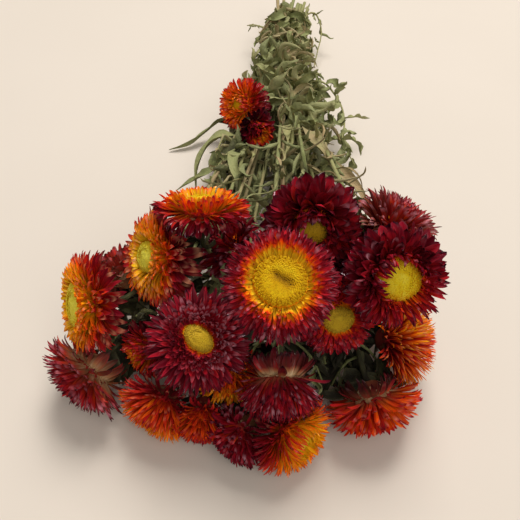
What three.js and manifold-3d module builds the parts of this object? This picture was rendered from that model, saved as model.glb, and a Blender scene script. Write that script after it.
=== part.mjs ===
// A cut bunch of dried strawflowers, bound with an elastic band and lying on its side.
// Millimetres. +Z is up, the stems run back along +Y and the blooms gather at the front.
import * as THREE from 'three';
import Module from 'manifold-3d';

const wasm = await Module();
wasm.setup();

// ---- Blooms -------------------------------------------------------------------------------
// at: middle of the bracts' roots. az: turn of the face from -Y towards +X, el: its rise from
// level, both in degrees. r: reach of the outer bracts, in mm.
const BLOOMS = [
  { name: 'h01', at: [0, 0, 98], az: 0, el: 62, r: 27, kind: 'open', disc: 0.42 },
  { name: 'h02', at: [-38, -4, 60], az: 20, el: 62, r: 26, kind: 'open', disc: 0.3 },
  { name: 'h03', at: [54, 15, 84], az: 5, el: 38, r: 26, kind: 'open', disc: 0.36 },
  { name: 'h04', at: [18, 56, 76], az: -4, el: 18, r: 27, kind: 'open', disc: 0.3 },
  { name: 'h05', at: [-61, 44, 64], az: -58, el: 33, r: 25, kind: 'open', disc: 0.32 },
  { name: 'h06', at: [-38, 58, 85], az: 180, el: 60, r: 26, kind: 'open', disc: 0.3 },
  { name: 'h07', at: [-94, 20, 57], az: -62, el: 22, r: 25, kind: 'open', disc: 0.34 },
  { name: 'h08', at: [-98, 1, 22], az: -45, el: -15, r: 25, kind: 'swept' },
  { name: 'h09', at: [-66, 12, 27], az: -55, el: 15, r: 16, kind: 'cup' },
  { name: 'h10', at: [-59, -15, 18], az: -28, el: -8, r: 22, kind: 'cup' },
  { name: 'h11', at: [-38, -20, 15], az: -5, el: -14, r: 19, kind: 'cup' },
  { name: 'h12', at: [-24, -4, 30], az: 0, el: 12, r: 18, kind: 'cup' },
  { name: 'h13', at: [1, -18, 44], az: 0, el: -22, r: 21, kind: 'dome' },
  { name: 'h14', at: [6, -32, 20], az: 42, el: 14, r: 23, kind: 'open', disc: 0.3 },
  { name: 'h15', at: [-19, -29, 15], az: -45, el: -12, r: 19, kind: 'cup' },
  { name: 'h16', at: [49, -13, 19], az: 20, el: -34, r: 25, kind: 'cup' },
  { name: 'h17', at: [62, 16, 29], az: 80, el: 18, r: 23, kind: 'cup' },
  { name: 'h18', at: [29, 14, 54], az: 10, el: 38, r: 22, kind: 'open', disc: 0.36 },
  { name: 'h19', at: [62, 62, 67], az: 128, el: 54, r: 24, kind: 'cup' },
  { name: 'h20', at: [-86, 54, 38], az: -140, el: 22, r: 18, kind: 'cup' },
  { name: 'h21', at: [-24, 70, 42], az: -100, el: 34, r: 21, kind: 'cup' },
  { name: 'h22', at: [44, 58, 50], az: -140, el: 72, r: 21, kind: 'cup' },
  { name: 'h23', at: [-20, 210, 38], az: -35, el: 34, r: 20, kind: 'open', disc: 0.34 },
  { name: 'h24', at: [-12, 182, 40], az: 20, el: 10, r: 13, kind: 'bud' },
];

// Bract layers, outermost first. root: radius of the layer's root and length: reach past it, both as
// parts of r; seat: height of the root in mm; rise: angle of the bracts above the bloom's plane.
const LAYERS = {
  open: [
    { root: 0.45, seat: -1.5, length: 0.53, rise: -8 },
    { root: 0.42, seat: 1.8, length: 0.52, rise: 18 },
    { root: 0.38, seat: 5, length: 0.4, rise: 42 },
  ],
  cup: [
    { root: 0.45, seat: -1.5, length: 0.55, rise: 8 },
    { root: 0.4, seat: 2, length: 0.55, rise: 32 },
    { root: 0.3, seat: 5.5, length: 0.5, rise: 56 },
  ],
  swept: [
    { root: 0.42, seat: -2.5, length: 0.58, rise: -38 },
    { root: 0.42, seat: 1.5, length: 0.56, rise: 12 },
    { root: 0.34, seat: 5, length: 0.52, rise: 44 },
  ],
  dome: [
    { root: 0.42, seat: -2.5, length: 0.56, rise: -42 },
    { root: 0.52, seat: 1, length: 0.62, rise: 52 },
    { root: 0.38, seat: 4, length: 0.62, rise: 74 },
  ],
  bud: [
    { root: 0.5, seat: -1.5, length: 0.8, rise: 44 },
    { root: 0.46, seat: 1, length: 0.95, rise: 62 },
    { root: 0.36, seat: 3, length: 1.0, rise: 78 },
  ],
};
const VALLEY = 0.24; // part of a bract's length that its neighbours share
const NECK_HEIGHT = -9; // flat underside of the bloom, where the stem ends
const NECK_RADIUS = 2.4;
const CUP_HEIGHT = -5.5; // shoulder of the leafy cup under the bracts
const CUP_RADIUS = 0.34; // as a part of r
const SEAT_HEIGHT = 5.6; // flat that carries the disc
const CLOSED_RIM = 0.14; // radius of the closed middle of a bloom without a disc, as a part of r
const CLOSED_LIFT = 1.2;
const DISC_MARGIN = 0.03; // of r, round the disc
const DISC_HEIGHT = 3.4;
const DISC_SIDES = 10;
const DISC_ROWS = [[0.93, 0], [1, 0.45], [0.66, 1], [0.22, 1.1]]; // parts of its radius and height
const DISHED_BLOOM = 'h01';
const DISHED_MIDDLE = 0.6; // height of its dished middle
const JITTER_LENGTH = 0.09;
const JITTER_RISE = 5; // degrees
const MOST_RISE = 84; // degrees, for bracts pressed together by a neighbour
const PRESS_STEP = 0.1; // bracts in a neighbour's way are raised by this part of the rest, as often as needed
const MOST_PRESS = 0.9;
const HALF_DEPTH = 10; // half of a bloom's depth along its axis
const MIDDLE_HEIGHT = 3; // middle of a bloom's depth, above its bracts' roots
const LEAST_SHARE = 0.36; // of the room between two blooms, for the smaller one
const SOLID_LIFT = 0.6; // root rings between two layers sit this much above their middle
const CLEARANCE = 0.3; // gap between pieces that touch
const TEETH = [[20, 12], [15, 10], [0, 8]]; // bracts in a layer, from the bloom's r up

// ---- Stems and tie -------------------------------------------------------------------------
const STEM_RADIUS = 1.5;
const STEM_SIDES = 5;
const STEM_FLOOR = 1.8; // lowest middle of a stem
const NECK_TAPER = 0.85;
const CORNER_SWELL = 1.06; // the tube's corners stand out so that its sides keep the radius
const SLOT_PITCH = 3.6; // spacing of the stems where they are bound
const NECK_LENGTH = 10; // straight stretch behind a bloom
const TIE_X = 10;
const TIE_Y = 306;
const TIE_WIDTH = 8;
const TIE_THICKNESS = 1.4;
const TIE_SIDES = 28;
const SLOT_SLOPE_X = 0.03; // a slot 1 mm off the middle suits a stem that leaves at this slope
const SLOT_SLOPE_Z = 0.02;
const BOUND_REACH = 14; // stems run level this far in front of and behind the tie
const END_X = 20; // middle of the cut ends
const END_Y = 380;
const END_SPREAD = 1.7; // fan of the cut ends, against their spacing at the tie
const END_STAGGER = 10;
const POKING_OUT = [-10, 22, 5]; // the upper left stem's end stands out past the others by this much
const PATH_POINTS = 16;
const NECK_PULL = 24; // how far a stem keeps its bloom's direction
const TIE_PULL = 0.4; // part of its run that a stem keeps the tie's direction
const SETTLE_STEPS = 140;
const SETTLE_EASE = 0.35; // part of the way to its neighbours' middle that a point moves each step
const SETTLE_YIELD = 0.5; // part of a crowding that each of two stems gives way
const BLOOM_PUSH = 6;
const BLOOM_TUCK = 0.92; // stems may pass under the outermost bract tips
const BLOOM_DEEP = 4; // room behind and before a bloom
const SETTLE_SPACING = 4.4; // stems are pushed this far apart in front of the tie
const STRAIGHT_ENOUGH = 0.6; // a path point nearer than this to the line past it is left out

// ---- Leaves --------------------------------------------------------------------------------
const LEAVES_A_STEM = 7;
const LEAF_FIRST = 26; // distance of the first leaf from the bloom
const LEAF_SHORTEST = 44;
const LEAF_LONGEST = 82;
const LEAF_WIDTH = 0.16; // half of the blade's width is this part of its length, at most
const LEAF_HALF_WIDTH = 6;
const LEAF_KEEL = 1.5; // depth of the midrib's fold
const LEAF_LEAST_KEEL = 0.7;
const LEAF_SPREAD = 24; // degrees from the stem
const LEAF_REACH = 0.92; // part of the length that lies along the stem
const LEAF_DROOP = 0.1;
const LEAF_TURN = 0.9; // radians of twist, at most, either way
const LEAF_BEND = [-0.1, 0.4];
const LEAF_AIM = 0.8; // radians off straight away from the bundle's middle, at most
const LEAF_TIP_ROOM = 12; // bare stretch at the cut end
const LEAF_TRIES = 6;
const LEAF_SHRINK = 0.86;
const GOLDEN_ANGLE = 137.5;
const LEAF_STATIONS = [0, 0.16, 0.42, 0.72, 1];
const LEAF_SHAPE = [0.22, 0.7, 1, 0.66, 0.08];

// ---- Finish --------------------------------------------------------------------------------
const CRIMSON = 0x6e1216;
const RUSSET = 0xb4401a;
const ORANGE = 0xd06a1c;
const GOLD = 0xd8b428;
const SAGE = 0x7c8560;
const BUFF = 0xb89468;
const BLOOM_COLOURS = {
  h05: ORANGE, h06: RUSSET, h07: ORANGE, h09: RUSSET, h10: ORANGE, h11: RUSSET, h12: ORANGE,
  h14: ORANGE, h16: RUSSET, h17: ORANGE, h23: RUSSET,
};

const V = (x, y, z) => new THREE.Vector3(x, y, z);
const UP = V(0, 0, 1);
const radians = THREE.MathUtils.degToRad;

// A repeatable draw between 0 and 1.
function dice(seed) {
  let state = seed;
  return () => {
    state = (state + 0x6d2b79f5) >>> 0;
    let t = Math.imul(state ^ (state >>> 15), 1 | state);
    t = (t + Math.imul(t ^ (t >>> 7), 61 | t)) ^ t;
    return ((t ^ (t >>> 14)) >>> 0) / 4294967296;
  };
}

// A closed body through rings of equal point count, with a flat fan on its first and last ring.
function loft(rings) {
  const n = rings[0].length;
  const points = rings.flat();
  const faces = [];
  for (let i = 0; i + 1 < rings.length; i += 1) {
    for (let j = 0; j < n; j += 1) {
      const a = i * n + j;
      const b = i * n + ((j + 1) % n);
      faces.push(a, b, b + n, a, b + n, a + n);
    }
  }
  const last = (rings.length - 1) * n;
  for (let j = 1; j + 1 < n; j += 1) {
    faces.push(0, j + 1, j);
    faces.push(last, last + j, last + j + 1);
  }
  return solidOf(points, faces);
}

function solidOf(points, faces) {
  const vertProperties = new Float32Array(points.flatMap((p) => p.toArray()));
  const make = (list) =>
    new wasm.Manifold(new wasm.Mesh({ numProp: 3, vertProperties, triVerts: new Uint32Array(list) }));
  const solid = make(faces);
  if (solid.volume() > 0) return solid;
  const turned = [];
  for (let i = 0; i < faces.length; i += 3) turned.push(faces[i], faces[i + 2], faces[i + 1]);
  return make(turned);
}

function meshOf(solid, name, colour, roughness) {
  const { vertProperties, triVerts } = solid.getMesh();
  const geometry = new THREE.BufferGeometry();
  geometry.setAttribute('position', new THREE.BufferAttribute(new Float32Array(vertProperties), 3));
  geometry.setIndex(new THREE.BufferAttribute(new Uint32Array(triVerts), 1));
  const material = new THREE.MeshStandardMaterial({ color: colour, roughness, metalness: 0 });
  const mesh = new THREE.Mesh(geometry, material);
  mesh.name = name;
  return mesh;
}

// The largest body of a solid that a cut has left in several.
function largest(solid) {
  return solid.decompose().reduce((a, b) => (b.volume() > a.volume() ? b : a));
}

// ---- Where each bloom looks and how much room it has ---------------------------------------
function placeBloom(bloom) {
  const az = radians(bloom.az);
  const el = radians(bloom.el);
  const axis = V(Math.sin(az) * Math.cos(el), -Math.cos(az) * Math.cos(el), Math.sin(el));
  const side = V().crossVectors(UP, axis).normalize();
  const over = V().crossVectors(axis, side);
  const at = V(...bloom.at);
  return { ...bloom, at, axis, side, over, middle: at.clone().addScaledVector(axis, MIDDLE_HEIGHT) };
}

const blooms = BLOOMS.map(placeBloom);

// A point of a bloom in its own round measure: radius, height along the axis and angle.
function bloomPoint(bloom, radius, height, angle) {
  return bloom.at
    .clone()
    .addScaledVector(bloom.axis, height)
    .addScaledVector(bloom.side, radius * Math.cos(angle))
    .addScaledVector(bloom.over, radius * Math.sin(angle));
}

// Anything made once for each step round a full turn.
function round(count, make) {
  return Array.from({ length: count }, (_, i) => make((i / count) * Math.PI * 2, i));
}

// How far a bloom reaches from its middle towards a direction.
function reach(bloom, direction) {
  const along = bloom.axis.dot(direction);
  return Math.hypot(bloom.r * Math.sqrt(Math.max(0, 1 - along * along)), HALF_DEPTH * along);
}

// Each bloom keeps to its side of a plane between it and every neighbour, and above the ground.
function roomOf(bloom) {
  const planes = [{ normal: V(0, 0, -1), limit: 0 }];
  for (const other of blooms) {
    if (other === bloom) continue;
    const normal = other.middle.clone().sub(bloom.middle);
    const distance = normal.length();
    normal.divideScalar(distance);
    const mine = reach(bloom, normal);
    const theirs = reach(other, normal);
    if (mine + theirs + CLEARANCE < distance) continue;
    const share = THREE.MathUtils.clamp(mine / (mine + theirs), LEAST_SHARE, 1 - LEAST_SHARE);
    planes.push({ normal, limit: bloom.middle.dot(normal) + distance * share - CLEARANCE / 2 });
  }
  return planes;
}

const fits = (point, planes) => planes.every((p) => p.normal.dot(point) <= p.limit + 1e-6);

// The point, or where the line to it from the anchor meets the first plane in the way.
function heldIn(point, anchor, planes) {
  let part = 1;
  for (const { normal, limit } of planes) {
    const start = normal.dot(anchor);
    const end = normal.dot(point);
    if (end > limit) part = Math.min(part, Math.max(0, (limit - start) / (end - start)));
  }
  return anchor.clone().lerp(point, part);
}

// ---- Bloom: flat neck, cup, three layers of pointed bracts and the seat of the disc --------
function bloomSolid(bloom, index) {
  const draw = dice(100 + index);
  const columns = 2 * TEETH.find(([least]) => bloom.r >= least)[1];
  const planes = roomOf(bloom);
  const layers = LAYERS[bloom.kind];
  const shaken = layers.map(() =>
    round(columns, () => ({
      length: 1 + (draw() * 2 - 1) * JITTER_LENGTH,
      rise: (draw() * 2 - 1) * JITTER_RISE,
    })),
  );
  const held = (point) => heldIn(point, bloom.at, planes);
  const ring = (radius, height) => round(columns, (angle) => held(bloomPoint(bloom, radius, height, angle)));

  // Tips and the valleys between them alternate, and each layer is turned by half a bract.
  const bractPoint = (number, column, angle, press) => {
    const layer = layers[number];
    const { length, rise } = shaken[number][column];
    const free = layer.rise + rise;
    const slope = radians(free + (MOST_RISE - free) * press);
    const isTip = (column + number) % 2 === 0;
    const past = layer.length * bloom.r * (isTip ? length : VALLEY);
    const radius = layer.root * bloom.r + past * Math.cos(slope);
    return bloomPoint(bloom, radius, layer.seat + past * Math.sin(slope), angle);
  };
  const presses = round(columns, (angle, column) => {
    let press = 0;
    const free = () => layers.every((_, number) => fits(bractPoint(number, column, angle, press), planes));
    while (press < MOST_PRESS && !free()) press += PRESS_STEP;
    return press;
  });

  const rings = [ring(NECK_RADIUS, NECK_HEIGHT), ring(CUP_RADIUS * bloom.r, CUP_HEIGHT)];
  layers.forEach((layer, number) => {
    rings.push(round(columns, (angle, column) => held(bractPoint(number, column, angle, presses[column]))));
    const next = layers[number + 1];
    if (next) rings.push(ring(next.root * bloom.r, (layer.seat + next.seat) / 2 + SOLID_LIFT));
  });
  if (bloom.disc) rings.push(ring((bloom.disc + DISC_MARGIN) * bloom.r, SEAT_HEIGHT));
  else rings.push(ring(CLOSED_RIM * bloom.r, layers[2].seat + CLOSED_LIFT));
  return loft(rings);
}

// ---- Disc of florets: a low dome, dished in the middle of the widest bloom -----------------
function discSolid(bloom) {
  const rings = DISC_ROWS.map(([across, up], row) => {
    const isMiddle = row === DISC_ROWS.length - 1;
    const part = isMiddle && bloom.name === DISHED_BLOOM ? DISHED_MIDDLE : up;
    const height = SEAT_HEIGHT + CLEARANCE + DISC_HEIGHT * part;
    return round(DISC_SIDES, (angle) => bloomPoint(bloom, bloom.disc * bloom.r * across, height, angle));
  });
  return loft(rings);
}

// ---- Stems: packed side by side at the tie, each in the direction of its own bloom ---------
function tieSlots(count) {
  const slots = [];
  for (let row = -4; row <= 4; row += 1) {
    for (let column = -4; column <= 4; column += 1) {
      const x = (column + (row % 2 === 0 ? 0 : 0.5)) * SLOT_PITCH;
      const z = row * SLOT_PITCH * Math.sqrt(0.75);
      slots.push({ x, z, far: Math.hypot(x - 0.4, z - 0.3) });
    }
  }
  slots.sort((a, b) => a.far - b.far);
  return slots.slice(0, count);
}

const slots = tieSlots(blooms.length);
const BUNDLE_RADIUS = Math.max(...slots.map((s) => Math.hypot(s.x, s.z))) + STEM_RADIUS * CORNER_SWELL;
const TIE_INNER = BUNDLE_RADIUS + CLEARANCE;
const TIE_Z = TIE_INNER + TIE_THICKNESS;

// Swapping slots while that shortens the whole set keeps the stems from crossing.
function shareSlots() {
  const want = blooms.map((bloom) => {
    const base = bloom.at.clone().addScaledVector(bloom.axis, NECK_HEIGHT - NECK_LENGTH);
    const run = TIE_Y - base.y;
    return { x: (base.x - TIE_X) / run, z: (base.z - TIE_Z) / run };
  });
  const middle = {
    x: want.reduce((sum, w) => sum + w.x, 0) / want.length,
    z: want.reduce((sum, w) => sum + w.z, 0) / want.length,
  };
  const cost = (w, s) =>
    (w.x - middle.x - s.x * SLOT_SLOPE_X) ** 2 + (w.z - middle.z - s.z * SLOT_SLOPE_Z) ** 2;
  const given = slots.map((_, i) => i);
  let better = true;
  while (better) {
    better = false;
    for (let i = 0; i < given.length; i += 1) {
      for (let j = i + 1; j < given.length; j += 1) {
        const now = cost(want[i], slots[given[i]]) + cost(want[j], slots[given[j]]);
        const swapped = cost(want[i], slots[given[j]]) + cost(want[j], slots[given[i]]);
        if (swapped < now - 1e-9) {
          [given[i], given[j]] = [given[j], given[i]];
          better = true;
        }
      }
    }
  }
  return given.map((k) => slots[k]);
}

const slotOf = shareSlots();

function firstPath(bloom, slot) {
  const base = bloom.at.clone().addScaledVector(bloom.axis, NECK_HEIGHT - CLEARANCE);
  const neck = base.clone().addScaledVector(bloom.axis, -NECK_LENGTH);
  const front = V(TIE_X + slot.x, TIE_Y - BOUND_REACH, TIE_Z + slot.z);
  const curve = new THREE.CubicBezierCurve3(
    neck,
    neck.clone().addScaledVector(bloom.axis, -NECK_PULL),
    front.clone().add(V(0, -TIE_PULL * (front.y - neck.y), 0)),
    front,
  );
  return [base, ...curve.getPoints(PATH_POINTS - 3), V(front.x, TIE_Y + BOUND_REACH, front.z)];
}

function nearestOnPath(point, path) {
  let best = null;
  const line = new THREE.Line3();
  const spot = V();
  for (let i = 0; i + 1 < path.length; i += 1) {
    line.set(path[i], path[i + 1]);
    line.closestPointToPoint(point, true, spot);
    const distance = spot.distanceTo(point);
    if (!best || distance < best.distance) best = { spot: spot.clone(), distance };
  }
  return best;
}

// How a bloom pushes a stem's point out of the room that it takes up.
function pushOfBloom(bloom, point) {
  const from = point.clone().sub(bloom.middle);
  const wide = bloom.r * BLOOM_TUCK + STEM_RADIUS;
  const deep = HALF_DEPTH + BLOOM_DEEP + STEM_RADIUS;
  const along = from.dot(bloom.axis);
  const across = from.addScaledVector(bloom.axis, -along);
  const depth = Math.hypot(across.length() / wide, along / deep);
  if (depth >= 1) return V(0, 0, 0);
  const out = across.divideScalar(wide * wide).addScaledVector(bloom.axis, along / (deep * deep));
  return out.setLength((1 - depth) * BLOOM_PUSH);
}

// How another stem pushes a stem's point away.
function pushOfStem(other, point) {
  const near = nearestOnPath(point, other);
  if (near.distance >= SETTLE_SPACING) return V(0, 0, 0);
  return point.clone().sub(near.spot).setLength((SETTLE_SPACING - near.distance) * SETTLE_YIELD);
}

// The stems settle round one another and round the blooms that stand in their way.
function settle(paths) {
  for (let step = 0; step < SETTLE_STEPS; step += 1) {
    paths.forEach((path, i) => {
      for (let k = 2; k < path.length - 2; k += 1) {
        const point = path[k];
        const move = path[k - 1].clone().add(path[k + 1]).multiplyScalar(0.5).sub(point);
        move.multiplyScalar(SETTLE_EASE);
        blooms.forEach((bloom, j) => {
          if (j !== i || k > 3) move.add(pushOfBloom(bloom, point));
        });
        paths.forEach((other, j) => {
          if (j !== i) move.add(pushOfStem(other, point));
        });
        point.add(move);
        point.z = Math.max(point.z, STEM_FLOOR);
      }
    });
  }
  return paths;
}

function withoutStraightPoints(path) {
  const kept = [path[0], path[1]];
  for (let k = 2; k < path.length - 2; k += 1) {
    const line = new THREE.Line3(kept[kept.length - 1], path[k + 1]);
    const off = line.closestPointToPoint(path[k], true, V()).distanceTo(path[k]);
    if (off > STRAIGHT_ENOUGH) kept.push(path[k]);
  }
  return [...kept, ...path.slice(-2)];
}

function cutEnd(slot, index) {
  const draw = dice(400 + index);
  const middle = STEM_FLOOR + (BUNDLE_RADIUS - STEM_RADIUS) * END_SPREAD;
  const end = V(
    END_X + slot.x * END_SPREAD,
    END_Y + (draw() * 2 - 1) * END_STAGGER,
    middle + slot.z * END_SPREAD,
  );
  const mostUpperLeft = slotOf.every((s) => s.z - s.x <= slot.z - slot.x);
  return mostUpperLeft ? end.add(V(...POKING_OUT)) : end;
}

function tubeSolid(path, radiusAt) {
  let side = null;
  const rings = path.map((point, k) => {
    const before = path[Math.max(0, k - 1)];
    const after = path[Math.min(path.length - 1, k + 1)];
    const along = after.clone().sub(before).normalize();
    if (!side) side = V().crossVectors(along, UP);
    side.addScaledVector(along, -side.dot(along)).normalize();
    const over = V().crossVectors(along, side);
    return round(STEM_SIDES, (angle) =>
      point
        .clone()
        .addScaledVector(side, radiusAt(k) * Math.cos(angle))
        .addScaledVector(over, radiusAt(k) * Math.sin(angle)),
    );
  });
  return loft(rings);
}

// ---- Leaves: folded blades along the midrib, pointing towards the blooms -------------------
function leafSolid(root, forward, outward, length, bend, twist) {
  const half = Math.min(LEAF_HALF_WIDTH, length * LEAF_WIDTH);
  const flat = V().crossVectors(forward, outward).normalize();
  const rings = LEAF_STATIONS.map((t, i) => {
    const spread = Math.tan(radians(LEAF_SPREAD)) * length * (t - bend * t * t);
    const middle = root
      .clone()
      .addScaledVector(forward, length * LEAF_REACH * t)
      .addScaledVector(outward, spread)
      .addScaledVector(UP, -length * LEAF_DROOP * t * t);
    const turn = twist * t;
    const across = flat.clone().multiplyScalar(Math.cos(turn)).addScaledVector(outward, Math.sin(turn));
    const under = V().crossVectors(across, forward).normalize();
    const width = half * LEAF_SHAPE[i];
    const keel = Math.max(LEAF_LEAST_KEEL, LEAF_KEEL * LEAF_SHAPE[i]);
    const edge = middle.clone().addScaledVector(under, keel * 0.3);
    return [
      edge.clone().addScaledVector(across, -width),
      middle.addScaledVector(under, -keel * 0.7),
      edge.addScaledVector(across, width),
    ];
  });
  return loft(rings);
}

function pointAlong(path, distance) {
  let left = distance;
  for (let k = 0; k + 1 < path.length; k += 1) {
    const step = path[k + 1].clone().sub(path[k]);
    const span = step.length();
    if (left <= span) {
      const forward = step.divideScalar(-span);
      return { spot: path[k].clone().addScaledVector(forward, -left), forward };
    }
    left -= span;
  }
  return null;
}

const lengthOf = (path) => path.slice(1).reduce((sum, p, k) => sum + p.distanceTo(path[k]), 0);

function boxesMeet(a, b, gap) {
  const boxA = a.boundingBox();
  const boxB = b.boundingBox();
  return [0, 1, 2].every((i) => boxA.min[i] <= boxB.max[i] + gap && boxB.min[i] <= boxA.max[i] + gap);
}

function clearOf(solid, others) {
  if (solid.boundingBox().min[2] < 0) return false;
  return others.every((other) => !boxesMeet(solid, other, CLEARANCE) || solid.minGap(other, 1) >= CLEARANCE);
}

// The leaf as drawn, or turned and shortened until it clears everything round it.
function growLeaf(i, number, path, others) {
  const draw = dice(1000 + i * 50 + number);
  const run = lengthOf(path) - LEAF_FIRST - LEAF_TIP_ROOM;
  const distance = LEAF_FIRST + run * ((number + 0.3 + 0.7 * draw()) / LEAVES_A_STEM);
  const { spot, forward } = pointAlong(path, distance);
  let length = THREE.MathUtils.lerp(LEAF_SHORTEST, LEAF_LONGEST, draw());
  const bend = THREE.MathUtils.lerp(LEAF_BEND[0], LEAF_BEND[1], draw());
  const twist = (draw() * 2 - 1) * LEAF_TURN;
  const away = Math.atan2(spot.z - TIE_Z - STEM_RADIUS * 4, spot.x - TIE_X) + (draw() * 2 - 1) * LEAF_AIM;
  for (let attempt = 0; attempt < LEAF_TRIES; attempt += 1) {
    const angle = away + radians((attempt * GOLDEN_ANGLE) / 2);
    const outward = V(Math.cos(angle), 0, Math.sin(angle));
    outward.addScaledVector(forward, -outward.dot(forward)).normalize();
    const leaf = leafSolid(spot, forward, outward, length, bend, twist);
    if (clearOf(leaf, others)) return leaf;
    length *= LEAF_SHRINK;
  }
  return null;
}

// ---- Assembly ------------------------------------------------------------------------------
const paths = settle(blooms.map((bloom, i) => firstPath(bloom, slotOf[i]))).map(withoutStraightPoints);
paths.forEach((path, i) => path.push(cutEnd(slotOf[i], i)));

const STEM_CORNER = STEM_RADIUS * CORNER_SWELL;
const stems = paths.map((path) => tubeSolid(path, (k) => (k < 2 ? STEM_RADIUS * NECK_TAPER : STEM_CORNER)));
const clearances = paths.map((path) => tubeSolid(path, () => STEM_CORNER + CLEARANCE * 1.4));

function tieSolid() {
  const ringAt = (radius, y) =>
    round(TIE_SIDES, (turn) => {
      const angle = turn + Math.PI / TIE_SIDES;
      const corner = radius / Math.cos(Math.PI / TIE_SIDES);
      return V(TIE_X + corner * Math.cos(angle), y, TIE_Z + corner * Math.sin(angle));
    });
  const outer = loft([ringAt(TIE_Z, TIE_Y - TIE_WIDTH / 2), ringAt(TIE_Z, TIE_Y + TIE_WIDTH / 2)]);
  const inner = loft([ringAt(TIE_INNER, TIE_Y - TIE_WIDTH), ringAt(TIE_INNER, TIE_Y + TIE_WIDTH)]);
  return outer.subtract(inner);
}

const tie = tieSolid();
const heads = blooms.map((bloom, i) =>
  clearances.reduce((solid, stem, j) => {
    const clear = j === i || !boxesMeet(solid, stem, 0) || solid.intersect(stem).volume() === 0;
    return clear ? solid : largest(solid.subtract(stem));
  }, bloomSolid(bloom, i)),
);
const discs = blooms.map((bloom) => (bloom.disc ? discSolid(bloom) : null));

const leaves = blooms.map(() => []);
for (let number = 0; number < LEAVES_A_STEM; number += 1) {
  blooms.forEach((_, i) => {
    const others = [tie, ...heads, ...discs.filter(Boolean)];
    others.push(...stems.filter((_, j) => j !== i), ...leaves.filter((_, j) => j !== i).flat());
    const leaf = growLeaf(i, number, paths[i], others);
    if (leaf) leaves[i].push(leaf);
  });
}

const bunch = new THREE.Group();
blooms.forEach((bloom, i) => {
  bunch.add(meshOf(heads[i], `${bloom.name}_bracts`, BLOOM_COLOURS[bloom.name] ?? CRIMSON, 0.45));
  if (discs[i]) bunch.add(meshOf(discs[i], `${bloom.name}_disc`, GOLD, 0.9));
  const leafy = leaves[i].reduce((whole, leaf) => whole.add(leaf), stems[i]);
  bunch.add(meshOf(leafy, `${bloom.name}_stem`, SAGE, 0.85));
});
bunch.add(meshOf(tie, 'tie', BUFF, 0.8));

// The origin goes to the middle of the bunch's underside.
const box = new THREE.Box3().setFromObject(bunch);
bunch.position.set(-(box.min.x + box.max.x) / 2, -(box.min.y + box.max.y) / 2, -box.min.z);

export default bunch;
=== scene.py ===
import math

import bpy
import numpy as np
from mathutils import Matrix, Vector


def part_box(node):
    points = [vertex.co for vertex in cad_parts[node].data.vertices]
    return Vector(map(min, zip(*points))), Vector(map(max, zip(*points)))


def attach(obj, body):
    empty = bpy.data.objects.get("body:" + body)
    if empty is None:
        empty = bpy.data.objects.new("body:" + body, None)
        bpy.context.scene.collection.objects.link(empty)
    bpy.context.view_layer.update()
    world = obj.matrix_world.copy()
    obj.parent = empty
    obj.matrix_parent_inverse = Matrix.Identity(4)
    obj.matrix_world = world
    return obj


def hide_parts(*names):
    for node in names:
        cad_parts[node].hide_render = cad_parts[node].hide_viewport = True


# The looks of a cut bunch of dried strawflowers, lying down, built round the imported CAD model.
# Lengths are in mm in the design frame of the CAD source, and in metres in Blender.
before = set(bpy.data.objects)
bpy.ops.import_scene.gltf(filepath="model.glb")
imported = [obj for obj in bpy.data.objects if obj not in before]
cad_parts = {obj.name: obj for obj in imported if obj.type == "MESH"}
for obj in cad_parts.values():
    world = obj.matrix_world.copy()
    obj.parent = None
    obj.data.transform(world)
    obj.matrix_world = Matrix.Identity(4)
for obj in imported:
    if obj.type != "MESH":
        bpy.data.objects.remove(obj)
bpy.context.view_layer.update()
BODY = "root"
MM = 0.001
GOLDEN_ANGLE = math.radians(137.508)


# ---- Blooms: the places and sizes of the CAD source, and how each one looks -----------------
def flower(at, az, el, r, kind, disc, look, count, half, **more):
    """at: middle of the bracts' roots. az: turn of the face from -Y towards +X, el: its rise from
    level, both in degrees. r: reach of the outer bracts. kind: how the bracts stand. disc: its
    radius as a part of r. look: the bracts' tones. count: their number. half: their half width.
    More: sunk, how much lower the middle lies. bare: the part of r that the bracts leave bare.
    straw: how straw-coloured the roots of the bracts next to the bent-back ones are. dusk: painted
    shade, how much darker and less straw-coloured the bent-back ones and the heart's underside are.
    faded: how straw-coloured the outermost ones are."""
    return dict(at=at, az=az, el=el, r=r, kind=kind, disc=disc, look=look, count=count, half=half, **more)


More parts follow.
